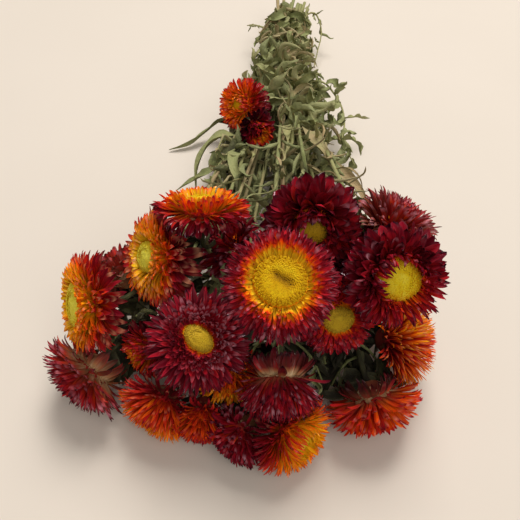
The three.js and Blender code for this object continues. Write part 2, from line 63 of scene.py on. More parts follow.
BLOOMS = {
    "h01": flower((0, 0, 98), 0, 62, 27, "open", 0.42, "sun", 760, 0.74),
    "h02": flower((-38, -4, 60), 20, 62, 26, "collar", 0.3, "plum", 600, 1, sunk=1.5),
    "h03": flower((54, 15, 84), 5, 38, 26, "deep", 0.36, "maroon", 340, 2.5, sunk=1, bare=0.4),
    "h04": flower((18, 56, 76), -4, 18, 27, "crown", 0.3, "dark", 220, 3.1, sunk=1),
    "h05": flower((-61, 44, 64), -58, 33, 25, "drum", 0.32, "citrus", 440, 1),
    "h06": flower((-38, 58, 85), 180, 60, 26, "bowl", 0.3, "flame", 340, 1.1, sunk=3.2),
    "h07": flower((-94, 20, 57), -62, 22, 25, "drum", 0.4, "citrus", 440, 1, bare=0.5),
    "h08": flower((-98, 1, 22), -45, -15, 25, "swept", 0, "rose", 320, 1.5, straw=0.85, faded=0.05),
    "h09": flower((-66, 12, 27), -55, 15, 16, "cup", 0, "flame", 240, 0.85),
    "h10": flower((-59, -15, 18), -28, -8, 22, "cup", 0, "amber", 380, 0.85),
    "h11": flower((-38, -20, 15), -5, -14, 19, "cup", 0, "rust", 320, 0.85),
    "h12": flower((-24, -4, 30), 0, 12, 18, "cup", 0, "amber", 260, 0.9),
    "h13": flower((1, -18, 44), 0, -22, 21, "dome", 0, "wine", 560, 0.95, straw=0.35),
    "h14": flower((6, -32, 20), 42, 14, 23, "tuft", 0.3, "ember", 460, 0.75, bare=0.26),
    "h15": flower((-19, -29, 15), -45, -12, 19, "cup", 0, "dark", 300, 1),
    "h16": flower((49, -13, 19), 20, -34, 25, "swept", 0, "tawny", 360, 1.15, straw=0.4, dusk=0.3),
    "h17": flower((62, 16, 29), 80, 18, 23, "brush", 0, "needle", 520, 0.68),
    "h18": flower((29, 14, 54), 10, 38, 22, "open", 0.36, "wine", 400, 0.9, sunk=1, bare=0.35),
    "h19": flower((62, 62, 67), 128, 54, 24, "cup", 0, "mauve", 280, 1.5, faded=0.3),
    "h20": flower((-86, 54, 38), -140, 22, 18, "cup", 0, "rose", 180, 2, faded=0.3),
    "h21": flower((-24, 70, 42), -100, 34, 21, "cup", 0, "dark", 240, 1.4),
    "h22": flower((44, 58, 50), -140, 72, 21, "cup", 0, "dark", 180, 2.2),
    "h23": flower((-20, 210, 38), -35, 34, 20, "tuft", 0.34, "blaze", 360, 0.95, bare=0.2),
    "h24": flower((-12, 182, 40), 20, 10, 13, "bud", 0, "ring", 160, 1.1),
}
CRIMSON = "bracts_crimson"
SLOTS = {
    "bracts_orange": ("h05", "h07", "h10", "h12", "h14", "h17"),
    "bracts_russet": ("h06", "h09", "h11", "h16", "h23"),
}
# The share of bracts with a painted highlight near the tip, and how pale it is at most.
GLEAMS = {
    "h01": (0.22, 0.6), "h02": (0.7, 0.9), "h03": (0.15, 0.7), "h04": (0.12, 0.6), "h05": (0.8, 1),
    "h07": (0.6, 0.9), "h08": (0.65, 0.9), "h10": (0.4, 0.6), "h13": (0.35, 1), "h15": (0.4, 0.6),
    "h16": (0.5, 0.8), "h17": (0.8, 0.95), "h19": (0.85, 1), "h20": (0.5, 0.7), "h21": (0.5, 0.9),
    "h23": (0.4, 0.6), "h24": (0.1, 0.2),
}
PLAIN_GLEAM = (0.2, 0.35)
# Which way a bloom's bracts are redder and darker (or, below 0, yellower), by how much, how far
# round that side reaches (1 is a narrow side, -1 the whole bloom), and how much of it the innermost
# share. Mostly the bracts' own colour; on h06's near side and h16's upper side it is painted shade.
BLUSH_AND_SHADE = {
    "h02": ((0.1, 0, -1), -0.1, 0.2, 1), "h03": ((0.3, 0, -1), -0.13, -0.2, 1),
    "h05": ((1, 0, 0.2), 0.3, 0.05, 0.1), "h06": ((0, -1, 0), 0.18, 0.1, 0.2),
    "h07": ((1, 0, 0.2), 0.28, 0.1, 0.1), "h09": ((0.3, 0, 1), 0.2, -0.6, 1),
    "h10": ((0, 0, 1), 0.22, -0.4, 1), "h11": ((0, 0, -1), 0.2, -0.2, 0.6),
    "h12": ((0.4, 0, 1), 0.16, -0.8, 1),
    "h14": ((-1, 0, 0.7), 0.28, 0.1, 1), "h16": ((-0.7, 0.4, 1), 0.2, 0.1, 0.6),
    "h17": ((0.4, 0.3, 1), -0.28, 0.1, 1), "h18": ((0.2, 0, -1), -0.05, -0.2, 1),
    "h23": ((1, 0, -0.1), 0.28, 0.15, 1), "h24": ((-0.7, 0, 0.7), 0.3, -0.3, 1),
}
# The side of a bloom where its bracts are only half as wide.
FINE_SIDES = {"h03": (0.2, 0, -1)}
# Where the bracts of one side stand otherwise: the way that side faces, from which rank and to
# which, degrees more rise, degrees more curl, and the part by which they are longer.
DRUM_SIDES = [((1, 0, 0), 0.3, 2, 26, 12, -0.1), ((-1, 0, 0), 0.25, 2, 0, 0, -0.35)]
SIDES = {
    "h02": [((0.6, 0, 1), 0.5, 2, 8, 10, 0.1)],
    "h03": [((-0.8, 0, 0.7), 0.6, 2, 0, 24, 0.2)],
    "h04": [((-0.6, 0, 0.8), 0.6, 2, 0, 6, 0.2)],
    "h05": [*DRUM_SIDES, ((1, 0, 0), -1, 0.2, 0, 0, 0.25)],
    "h06": [((0, -1, 0), 0.3, 2, 24, 24, -0.15), ((0, -1, 0), -1, 0.3, -6, 0, -0.2)],
    "h07": DRUM_SIDES,
    "h08": [((0.7, -0.7, 0.5), -1, 0.16, 0, 0, 0.45)],
    "h09": [((-1, 0, 0.2), 0, 2, 0, 0, 0.3)],
    "h10": [((0, 0, 1), -1, 2, -6, 34, 0), ((0, 0, -1), -1, 2, 0, 26, 0)],
    "h14": [((-0.7, 0, 0.7), 0.6, 2, 0, 16, 0.1)],
    "h16": [((-0.5, 0, 1), -1, 0.1, 16, 0, 0.5)],
    "h18": [((-0.7, 0, 0.7), 0.6, 2, 0, 24, 0.2)],
}

# How the bracts of each kind of bloom stand, by rank from the outermost (0) to the innermost
# (1): their rise and their curl, in degrees, and their reach, a part of r.
HABITS = {
    "open": (([0, 0.1, 0.25, 0.5, 0.8, 1], [-40, -22, -4, 14, 34, 52]),
        ([0, 0.2, 0.5, 1], [-14, 0, 10, 22]),
        ([0, 0.1, 0.25, 0.5, 0.8, 1], [0.5, 0.56, 0.57, 0.48, 0.32, 0.2])),
    "drum": (([0, 0.1, 0.2, 0.3, 0.45, 0.7, 1], [-20, 0, 20, 20, 34, 56, 74]),
        ([0, 0.2, 0.3, 0.45, 0.75, 1], [-8, 6, -20, -28, -42, -48]),
        ([0, 0.1, 0.2, 0.3, 0.45, 0.7, 1], [0.6, 0.64, 0.64, 0.62, 0.54, 0.38, 0.26])),
    "tuft": (([0, 0.1, 0.25, 0.5, 0.8, 1], [-30, -8, 12, 34, 60, 76]),
        ([0, 0.3, 0.7, 0.85, 1], [-10, 2, 10, 36, 70]),
        ([0, 0.1, 0.3, 0.6, 1], [0.5, 0.6, 0.6, 0.5, 0.4])),
    "deep": (([0, 0.1, 0.22, 0.45, 0.75, 1], [-50, -28, -4, 26, 56, 72]),
        ([0, 0.2, 0.45, 0.7, 1], [-16, -8, 18, 48, 76]),
        ([0, 0.1, 0.22, 0.5, 0.85, 1], [0.46, 0.54, 0.58, 0.54, 0.42, 0.36])),
    "collar": (([0, 0.1, 0.2, 0.32, 0.45, 0.6, 0.8, 1], [-50, -28, -8, 4, 24, 34, 44, 56]),
        ([0, 0.2, 0.32, 0.45, 0.6, 0.8, 1], [-16, 0, 10, 26, 26, 26, 30]),
        ([0, 0.1, 0.2, 0.34, 0.42, 0.6, 0.8, 1], [0.48, 0.56, 0.6, 0.58, 0.38, 0.31, 0.26, 0.22])),
    "crown": (([0, 0.1, 0.22, 0.45, 0.75, 1], [-30, -10, 12, 36, 60, 74]),
        ([0, 0.2, 0.45, 0.7, 1], [-16, -8, 8, 34, 60]),
        ([0, 0.1, 0.22, 0.5, 0.85, 1], [0.5, 0.58, 0.6, 0.54, 0.38, 0.28])),
    "bowl": (([0, 0.1, 0.22, 0.45, 0.75, 1], [-36, -18, -4, 8, 30, 56]),
        ([0, 0.2, 0.3, 0.7, 1], [-6, 6, 16, 16, 10]),
        ([0, 0.1, 0.3, 0.6, 1], [0.46, 0.56, 0.58, 0.42, 0.28])),
    "cup": (([0, 0.08, 0.2, 0.5, 0.8, 1], [-22, 6, 24, 44, 64, 80]), ([0, 0.2, 0.6, 1], [-18, -8, 4, 10]),
        ([0, 0.1, 0.3, 0.6, 0.8, 1], [0.5, 0.6, 0.66, 0.62, 0.52, 0.42])),
    "swept": (([0, 0.1, 0.14, 0.45, 0.75, 1], [-66, -46, 4, 30, 54, 76]),
        ([0, 0.1, 0.14, 0.6, 1], [-18, -10, -6, 6, 10]),
        ([0, 0.1, 0.14, 0.6, 1], [0.34, 0.42, 0.6, 0.62, 0.48])),
    "dome": (([0, 0.05, 0.07, 0.45, 0.8, 1], [-66, -46, 26, 50, 72, 84]),
        ([0, 0.05, 0.07, 0.6, 1], [-14, -6, 34, 30, 14]),
        ([0, 0.05, 0.07, 0.6, 1], [0.6, 0.58, 0.72, 0.7, 0.58])),
    "brush": (([0, 0.1, 0.3, 0.6, 1], [4, 24, 42, 60, 82]), ([0, 0.2, 0.6, 1], [-14, -10, -4, 4]),
        ([0, 0.1, 0.3, 0.6, 1], [0.62, 0.72, 0.8, 0.8, 0.7])),
    "bud": (([0, 0.2, 0.5, 0.8, 1], [24, 48, 62, 76, 84]), ([0, 0.5, 1], [4, 16, 14]),
        ([0, 0.5, 0.7, 1], [0.74, 0.82, 0.7, 0.46])),
}
# How wide the bracts are from the outermost to the innermost, a part of the bloom's half width.
SPANS = {
    "drum": ([0, 0.2, 0.4, 1], [2.0, 1.7, 1.05, 0.75]), "deep": ([0, 0.5, 0.75, 1], [1.2, 1.0, 0.5, 0.3]),
    "crown": ([0, 0.5, 1], [1.15, 1.0, 0.7]), "collar": ([0, 0.36, 0.42, 1], [1.4, 1.2, 1.3, 1.1]),
    "open": ([0, 0.4, 1], [1.15, 1.0, 1.0]),
    "dome": ([0, 0.06, 0.1, 0.5, 1], [1.25, 1.25, 0.85, 0.75, 0.6]),
}
PLAIN_SPAN = ([0, 0.2, 1], [1.25, 1.1, 0.75])
# Painted shade: how much darker the bracts are painted towards their roots, where they stand
# close, from outermost to innermost.
PAINTED_ROOT_SHADE = {
    "cup": ([0, 0.3, 0.6, 1], [0.1, 0.2, 0.6, 0.8]), "swept": ([0, 0.3, 0.6, 1], [0.0, 0.1, 0.5, 0.8]),
    "dome": ([0, 0.3, 0.6, 1], [0.0, 0.1, 0.5, 0.8]), "bowl": ([0, 0.3, 1], [0.3, 0.6, 0.3]),
    "collar": ([0, 0.2, 0.4, 1], [0.4, 0.7, 0.5, 0.3]),
    "drum": ([0, 0.2, 0.4, 0.7, 1], [0.3, 0.45, 0.35, 0.2, 0.05]),
}
PLAIN_ROOT_SHADE = ([0, 0.2, 0.4, 0.6, 0.8, 1], [0.5, 0.85, 0.9, 0.55, 0.05, 0])
# How straw-coloured the bent-back bracts of these are, from root to tip.
STRAW_PARTS = {
    "swept": ([0, 0.3, 0.6, 1], [1, 0.7, 0.2, 0]),
    "dome": ([0, 0.2, 0.42, 1], [1.25, 0.9, 0.12, 0]),
}
NEEDLE_LOOKS = ("amber", "rust", "needle", "ember")  # their bracts are slender all along
STRAWY = ("swept", "dome")  # their outermost bracts are broad, bent back and straw-coloured at the root
# From which rank inwards the bracts are no longer bent back, and to which they still all are.
SWEPT_ROWS = {"swept": (0.13, 0.09), "dome": (0.07, 0.05)}
# Discs that dried oval: which way they are narrower, in degrees round the axis, and by which factor.
OVALS = {"h01": (70, 0.93), "h02": (32, 0.66), "h03": (80, 0.93), "h07": (0, 0.84), "h18": (95, 0.84)}
ROUND = (0, 1)
SEATS = ([0, 0.3, 0.6, 1], [-2.6, 0, 3, 5.6])  # height of the bracts' roots
CLOSED_ROOT = 0.05
NECK_HEIGHT = -9.2
NECK_RADIUS = 2.3
CUP_HEIGHT = -5.5
CUP_RADIUS = 0.34
SEAT_HEIGHT = 5.7
DISC_HEIGHT = 3.4

# Tone runs from 0 yellow over 0.25 amber, 0.45 orange-red and 0.65 crimson to 1 near-black
# maroon. Each look has the tone from the disc's edge (0) to the reach of the outer bracts (1),
# what is added to it from the outermost bracts (0) to the innermost (1), what the tip of a bract
# adds, and the share of bracts that end in a dark point.
LOOKS = {
    "sun": (([0, 0.16, 0.3, 0.44, 0.6, 1], [-0.06, 0, 0.24, 0.48, 0.62, 0.68]),
        ([0, 0.4, 1], [0.14, 0.02, 0]), 0.03, 0.35),
    "wine": (([0, 0.08, 0.2, 0.5, 1], [0.16, 0.36, 0.52, 0.58, 0.62]),
        ([0, 0.1, 0.3, 1], [0.16, 0.08, 0, 0.04]), 0.06, 0.5),
    "maroon": (([0, 0.08, 0.2, 0.5, 1], [0.26, 0.46, 0.6, 0.67, 0.71]),
        ([0, 0.3, 0.8, 1], [0.04, 0, 0, -0.2]), 0.08, 0.6),
    "plum": (([0, 0.06, 0.14, 0.5, 1], [0.36, 0.5, 0.64, 0.66, 0.66]),
        ([0, 0.3, 0.42, 0.5, 1], [0.14, 0.08, 0, 0.04, 0.04]), 0, 0.3),
    "mauve": (([0, 0.25, 0.5, 0.75, 1], [0.26, 0.4, 0.58, 0.64, 0.68]),
        ([0, 0.3, 1], [0, 0, 0]), 0.04, 0.3),
    "dark": (([0, 0.1, 0.24, 0.6, 1], [0.42, 0.53, 0.6, 0.64, 0.68]),
        ([0, 0.3, 1], [0.06, 0, 0]), 0.06, 0.5),
    "citrus": (([0, 0.2, 0.6, 1], [0.06, 0.12, 0.18, 0.26]),
        ([0, 0.12, 0.24, 0.34, 0.5, 1], [0.3, 0.26, 0.16, 0.06, 0, -0.04]), 0.08, 0.1),
    "amber": (([0, 0.3, 0.7, 1], [0.32, 0.3, 0.26, 0.22]),
        ([0, 0.12, 0.3, 1], [0.26, 0.12, 0, -0.05]), 0.02, 0.15),
    "needle": (([0, 0.3, 0.6, 0.9, 1.25], [0.7, 0.62, 0.52, 0.42, 0.2]),
        ([0, 0.12, 1], [0.14, 0, 0]), -0.02, 0),
    "flame": (([0, 0.3, 0.7, 1], [0.1, 0.2, 0.36, 0.46]),
        ([0, 0.15, 0.28, 0.5, 1], [0.34, 0.26, 0.12, 0.02, -0.06]), 0.06, 0.2),
    "rust": (([0, 0.3, 0.7, 1], [0.5, 0.45, 0.41, 0.43]), ([0, 0.12, 0.3, 1], [0.24, 0.08, 0, 0]), 0, 0.3),
    "tawny": (([0, 0.3, 0.7, 1], [0.5, 0.42, 0.36, 0.4]),
        ([0, 0.12, 0.3, 1], [0.16, 0.06, 0, 0]), 0.04, 0.35),
    "rose": (([0, 0.2, 0.45, 0.7, 1], [0.38, 0.46, 0.54, 0.59, 0.62]),
        ([0, 0.2, 1], [0.06, 0, 0]), 0.06, 0.75),
    "ember": (([0, 0.25, 0.6, 1], [0.02, 0.1, 0.25, 0.42]),
        ([0, 0.12, 0.3, 0.5, 1], [0.2, 0.14, 0.04, 0, -0.08]), 0.02, 0),
    "blaze": (([0, 0.2, 0.5, 0.8, 1], [0.06, 0.18, 0.3, 0.4, 0.52]),
        ([0, 0.2, 0.4, 1], [0.12, 0.06, 0, 0]), 0.02, 0.1),
    "ring": (([0, 0.3, 0.45, 0.6, 0.8, 1], [0.95, 0.85, 0.5, 0.24, 0.26, 0.5]),
        ([0, 0.3, 0.5, 1], [0.3, 0.16, 0, 0]), 0, 0),
}

# ---- Stems and leaves: the routes of the CAD source, and the leaves that have their place ----
# The stems pass the tie in columns and rows and spread again from there to their cut ends. For
# each: its column, its row, the y of its cut end, and its bends before the tie. The CAD source
# works these numbers out. They were printed from a copy of it and taken over.
TIED = {
    "h01": (1, 3, 382.4, (-1.9, 45.8, 70.6)), "h02": (-2, 0, 376.9, (-29.9, 63, 28.3)),
    "h03": (4, 2, 378.3, (45.2, 68.8, 65)), "h04": (2, 2, 376.3, (14.4, 274.2, 22.6)),
    "h05": (0, 2, 377.1, (-16.9, 174.3, 30.4), (6.6, 271.8, 20.7)),
    "h06": (-1, 3, 410.1, (-10.6, 167.9, 34.8)),
    "h07": (-3, 1, 374.1, (-31.8, 163.8, 28.4), (-19, 205.5, 22.4)),
    "h08": (-3, -1, 389.3, (-8.7, 246.4, 11.7)), "h09": (-2, -2, 380.7, (-2.4, 247.8, 8)),
    "h10": (-1, -1, 380.1, (4, 268.2, 10.7)), "h11": (0, -2, 385.6), "h12": (0, 0, 387.6),
    "h13": (1, 1, 371.3), "h14": (2, -2, 380.6, (12, 266.5, 6.7)), "h15": (1, -1, 386.7),
    "h16": (3, -1, 388.9, (17, 268.1, 11.5)), "h17": (5, -1, 378.2), "h18": (3, 1, 384.2),
    "h19": (5, 1, 376.6, (51.8, 73.8, 46.6), (32.1, 195, 27.4)), "h20": (-4, 0, 377.4, (-31.9, 167.9, 21)),
    "h21": (2, 0, 387.2, (12.6, 273.2, 14.2)), "h22": (4, 0, 389.1), "h23": (-1, 1, 374.2),
    "h24": (-2, 2, 389, (-14.2, 208.7, 28.9), (-14.3, 222.2, 25.6), (4, 284.9, 20.4)),
}
STEM_START = 9.3  # from a bloom's place, down its axis, to where its stem starts
STEM_BEND = 19.3  # and to its first bend
COLUMN = 1.8
ROW = COLUMN * math.sqrt(3)
TIE = (10, 306)
TIE_STRETCH = 14  # the stems run level this far before and after the tie
TIE_ROW_Z = 12.82  # height of the middle row at the tie
END_X = 20  # the cut end of the middle stem,
END_Z = 18.1
END_SPREAD = 1.7  # and how many times farther apart the stems are there than at the tie
LONG_ENDS = {"h06": (6.9, 410.1, 39)}  # the cut end of the stem that sticks out of the spread
STEM_RADIUS = 1.5
STEM_GIRTH = ([0, 0.04, 0.5, 1], [1.2, 0.75, 0.85, 1.0])
TIE_Z = 12.8  # middle of the elastic band, and its inner radius
TIE_INNER = 11.45

# Leaves with a place of their own, for the stem that bears them: the leaf's line, half width,
# tone, and how flat it lies, from 0 for a folded one to 1 for an open one.
LEAVES = {
    "h03": [([(29, 176, 40), (23, 166, 48), (28, 152, 50), (35, 142, 47), (41, 131, 41)], 5.4, 0.78, 0.4),
        ([(35, 140, 50), (41, 132, 46), (49, 126, 43), (55, 117, 40), (58, 106, 37)], 3.4, 0.95, 0.7)],
    "h04": [([(15, 180, 44), (10, 168, 50), (12, 150, 52), (6, 136, 50)], 3.8, 0.62, 0.2)],
    "h05": [
        ([(-20, 165, 32), (-25, 154, 38), (-25, 141, 38), (-21, 130, 35), (-23, 121, 33)], 4.2, 0.46, 0.3),
        ([(-15, 176, 31), (-22, 172, 34), (-27, 163, 34), (-28, 152, 30)], 4.5, 0.1, 0.6)],
    "h06": [([(-28, 92, 56), (-31, 66, 50), (-37, 60, 48), (-38, 66, 56)], 3.4, 0.4, 0.2)],
    "h07": [
        ([(-19, 205, 22.5), (-29, 219, 20), (-39, 221, 15), (-51, 216, 8), (-62, 208, 3.5), (-78, 204, 2)],
         4.4, 0.3, 0.6),
        ([(-23, 190, 25), (-35, 180, 34), (-46, 174, 29), (-52, 164, 20), (-53, 150, 12)], 3.8, 0.5, 0.4),
        ([(-35, 159, 26), (-47, 156, 20), (-57, 155, 14), (-67, 152, 9)], 3.2, 0.4, 0.5)],
    "h18": [([(21, 160, 30), (24, 150, 46), (16, 138, 50), (12, 128, 46)], 3.4, 0.46, 0.2)],
}
# Open dark leaves, low down in the gaps: where they start (a place, or the y of one on the stem),
# three points of their line, their half width and tone. A scratch program worked out 14 of the 21 from
# pale gaps in a render, and ten of those were then changed. The others were chosen one by one. Their
# near-black tone is painted shade in the gaps between the blooms.
PAINTED_SHADE_LEAVES = {
    "h07": [(181, (-26, 162, 26), (-27, 181, 28), (-28, 202, 26), 8, 0.08)],
    "h08": [(35, (-74, 37, 30), (-81, 37, 32), (-88, 37, 30), 7.5, 0.1),
        (29, (-79, 28, 28), (-74, 28, 30), (-67, 26, 28), 5, 0.08),
        (178, (-38, 172, 12), (-41, 181, 14), (-42, 190, 12), 5, 0.16),
        ((-79, 24, 26), (-82, 16, 20), (-82, 7, 18), (-80, -3, 16), 6, 0.05)],
    "h09": [(164, (-22, 166, 12), (-28, 166, 14), (-36, 166, 12), 7, 0.12),
        (58, (-47, 58, 30), (-42, 58, 32), (-36, 58, 30), 5, 0.06),
        ((-56, 20, 23), (-72, 12, 15), (-79, 6, 14), (-82, -2, 12), 6, 0.05)],
    "h10": [(154, (-20, 147, 14), (-20, 154, 16), (-21, 162, 14), 5, 0.12)],
    "h11": [(163, (-7, 174, 14), (-6, 162, 16), (-6, 150, 14), 4.5, 0.12),
        (0, (-28, -6, 12), (-20, -14, 8), (-14, -20, 6), 6, 0.06)],
    "h12": [((-24, 14, 26), (-16, 6, 14), (-8, -4, 10), (-4, -14, 8), 6, 0.05)],
    "h13": [((1, 2, 50), (12, 6, 36), (20, 4, 26), (28, 0, 18), 5, 0.04)],
    "h15": [(216, (9, 225, 12), (9, 215, 14), (9, 204, 12), 4.5, 0.14),
        (246, (10, 235, 12), (10, 247, 14), (11, 259, 12), 4.5, 0.16)],
    "h16": [(282, (8, 282, 12), (16, 282, 14), (27, 282, 12), 7, 0.2),
        ((41, 10, 27), (46, 6, 20), (40, 0, 14), (30, -4, 10), 6, 0.03)],
    "h17": [(165, (34, 165, 14), (39, 165, 16), (45, 165, 14), 5.5, 0.14),
        ((38, 21, 20), (30, 10, 16), (26, 0, 14), (24, -10, 12), 6, 0.03)],
    "h19": [(254, (28, 256, 14), (38, 256, 16), (48, 254, 14), 6, 0.16)],
    "h22": [(175, (42, 164, 14), (44, 175, 16), (44, 186, 14), 5, 0.16)],
}
# More of them, at the heights and in the tone usual near the blooms or along the stems. A scratch
# program worked them all out, from where a render showed pale floor and the photo is dark, and
# two were then changed.
GAP_LEAVES = {
    "h08": [((-88, 12, 26), (-87, 0), (-89, 14), (-90, 26), 7.5), (33, (-79, 36), (-88, 36), (-96, 36), 9),
        (48, (-81, 52), (-88, 52), (-94, 52), 6.9), (371, (5, 359), (5, 372), (6, 386), 5.6),
        (31, (-83, 27), (-84, 33), (-85, 39), 4.9), (26, (-76, 25), (-83, 25), (-90, 25), 6.4),
        (20, (-81, 26), (-80, 19), (-79, 13), 4.1), (41, (-72, 47), (-71, 40), (-71, 33), 3.2),
        (77, (-59, 73), (-55, 73), (-50, 73), 4.5), (203, (-28, 201), (-18, 201), (2, 201), 6),
        (20, (-90, 15), (-91, 22), (-92, 29), 3.5), (216, (-31, 223), (-37, 223), (-43, 223), 4.9),
        ((-90, 9, 25), (-90, 13), (-94, 13), (-98, 13), 3.5)],
    "h09": [(74, (-42, 75), (-48, 75), (-53, 75), 5.9), (162, (-24, 149), (-24, 162), (-24, 175), 5.4),
        (56, (-47, 56), (-42, 56), (-38, 56), 5.2), (54, (-45, 56), (-50, 56), (-55, 56), 4.7),
        (156, (-30, 147), (-30, 156), (-31, 166), 2.9), (64, (-46, 65), (-50, 65), (-55, 65), 3),
        (164, (-23, 153), (-24, 164), (-24, 175), 5.5)],
    "h10": [(156, (-18, 148), (-18, 156), (-18, 164), 4.6)],
    "h11": [(173, (-5, 187), (-5, 172), (-5, 157), 6.4), (143, (-16, 125), (-16, 144), (-16, 164), 6.6),
        (167, (-7, 157), (-7, 167), (-7, 178), 4.2)],
    "h12": [(25, (-16, 31), (-16, 23), (-15, 15), 7.5)],
    "h15": [(16, (-13, 17), (-3, 17), (8, 17), 6.9), (232, (8, 205), (8, 232), (9, 260), 5.9),
        (-2, (12, -4), (17, -4), (21, -4), 4), (238, (11, 216), (11, 238), (12, 260), 8.3),
        (10, (17, 4), (17, 9), (18, 15), 3.5), (14, (2, 13), (6, 13), (11, 13), 4.6),
        (238, (11, 219), (11, 239), (12, 260), 8.2)],
    "h16": [((45, -3, 26), (53, -5), (55, 4), (56, 13), 5.9), (179, (21, 202), (20, 178), (19, 156), 8.6),
        (240, (26, 240), (19, 240), (13, 240), 9), ((46, -6, 24), (38, -2), (38, -6), (37, -11), 4),
        (187, (23, 167), (24, 186), (24, 207), 4.7), (220, (20, 230), (19, 219), (19, 209), 4.4),
        ((46, -6, 24), (28, -13), (23, -13), (19, -13), 3.2)],
    "h17": [(173, (25, 172), (32, 172), (39, 172), 7.6), (29, (55, 22), (56, 29), (56, 37), 4.9),
        ((53, 18, 26), (54, 19), (53, 14), (52, 9), 3.5), (175, (44, 166), (44, 176), (45, 186), 4.3)],
    "h19": [(252, (35, 255), (40, 255), (45, 255), 4.4)],
    "h20": [(94, (-60, 92), (-51, 92), (-42, 92), 9), (282, (1, 260), (1, 282), (2, 305), 5.2),
        (316, (-4, 327), (-4, 316), (-4, 305), 4.3)],
    "h22": [(276, (18, 260), (18, 276), (19, 293), 7.6), (97, (63, 94), (64, 98), (64, 104), 3.1)],
}
# The heights of a gap leaf's points and its tone, near the blooms and along the stems; the near-black tone
# near the blooms is painted shade.
NEAR_GAPS = ((22, 23, 22), 0.05)
FAR_GAPS = ((13, 14, 13), 0.15)
FAR_GAPS_START = 110  # along y
# Thin dried shoots with small curled leaves, for the stem that bears them: the leaves' tone, half
# width and length, how far apart they are, and the shoot's line.
# The shoots low among the blooms get tones of 0.04 to 0.1, which the leaf material turns near-black:
# painted shade.
SHOOTS = {
    "h02": [
        (0.08, 2.2, 16, 4, [(-41, 14, 40), (-48, 16, 46), (-54, 18, 52), (-60, 18, 54)]),
        (0.3, 2.4, 18, 5, [(-38, 28, 37), (-32, 30, 46), (-27, 36, 54), (-24, 44, 58)]),
    ],
    "h05": [(0.4, 2.2, 18, 8, [(-17, 174, 30), (-30, 160, 36), (-40, 140, 32), (-43, 132, 28)])],
    "h06": [(0.6, 1, 9, 14, [(6.5, 392, 37), (3, 380, 38), (-3, 372, 38), (-7, 378, 42)])],
    "h08": [
        (0.06, 2.4, 15, 4, [(-79, 25, 26), (-81, 21, 31), (-84, 16, 33), (-87, 11, 32)]),
        (0.05, 2.4, 17, 4, [(-72, 45, 24), (-70, 36, 34), (-70, 26, 42), (-72, 18, 48)]),
    ],
    "h09": [(0.08, 2.4, 16, 4, [(-50, 24, 22), (-56, 22, 30), (-62, 20, 36), (-66, 16, 42)])],
    "h11": [(0.05, 2.4, 14, 4, [(-36, 2, 20), (-44, 0, 22), (-50, -6, 24), (-52, -12, 26)])],
    "h12": [
        (0.05, 2.4, 15, 4, [(-24, 16, 26), (-16, 12, 20), (-10, 4, 16), (-6, -6, 12)]),
        (0.06, 2.4, 15, 4, [(-24, 20, 26), (-32, 14, 20), (-38, 6, 16), (-42, 0, 12)]),
    ],
    "h13": [
        (0.05, 2.4, 15, 4, [(1, 4, 51), (10, 4, 44), (18, 0, 36), (23, -8, 28)]),
        (0.05, 2.4, 15, 4, [(1, 8, 51), (-8, 6, 44), (-14, 0, 38), (-17, -8, 34)]),
    ],
    "h16": [
        (0.06, 2.6, 17, 4, [(43.5, 6, 29), (38, 6, 24), (33, 2, 19), (29, -4, 15)]),
        (0.1, 2.6, 17, 4, [(43, 14, 29), (50, 12, 24), (56, 6, 18), (60, 0, 14)]),
        (0.04, 2.6, 17, 4, [(42, 24, 28), (40, 17, 20), (38, 10, 13), (38, 4, 8)]),
    ],
    "h18": [
        (0.08, 2.6, 17, 4, [(27, 30, 42), (24, 22, 34), (24, 12, 28), (26, 4, 24)]),
        (0.04, 2.4, 17, 4, [(26, 40, 40), (36, 32, 34), (46, 26, 30), (52, 20, 30)]),
    ],
    "h19": [
        (0.42, 3.6, 21, 5, [(24, 250, 20), (29, 256, 26), (39, 257, 27), (49, 243, 25), (54, 226, 23),
         (54.5, 211, 21), (51, 191, 22), (53, 175, 24), (57, 161, 24)]),
        (0.3, 3, 20, 6, [(24, 250, 20), (32, 250, 24), (39, 240, 25), (43, 222, 24), (44, 204, 22)]),
        (0.5, 1.6, 12, 12, [(27, 347, 20), (34, 357, 29), (40, 359, 29), (44, 354, 25), (46, 343, 19),
         (42, 324, 14), (38, 306, 9)]),
    ],
    "h21": [(0.36, 2.4, 18, 5, [(-8, 67, 31), (-14, 58, 42), (-20, 48, 52), (-24, 40, 58)])],
    "h24": [(0.7, 0.9, 8, 8, [(0, 340, 24), (-8, 343, 25), (-15, 348, 24), (-20, 352, 21)])],
}

# The design frame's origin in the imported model's frame comes from the tie, which stands on the
# ground, in mm.
tie_low, tie_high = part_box("tie")
SHIFT = np.array([
    (tie_low[0] + tie_high[0]) / 2 / MM - TIE[0],
    (tie_low[1] + tie_high[1]) / 2 / MM - TIE[1],
    tie_low[2] / MM,
])


# ---- Mesh code ------------------------------------------------------------------------------
def unit(vectors):
    return vectors / np.maximum(np.linalg.norm(vectors, axis=-1, keepdims=True), 1e-9)


def spokes(turn, side, over):
    """Unit vectors at the angles turn, from side towards over."""
    return np.cos(turn)[..., None] * side + np.sin(turn)[..., None] * over


def smooth_step(low, high, x):
    t = np.clip((x - low) / (high - low), 0, 1)
    return t * t * (3 - 2 * t)


GROUND = 0.2  # a ring of points that reaches below this height is lifted to it


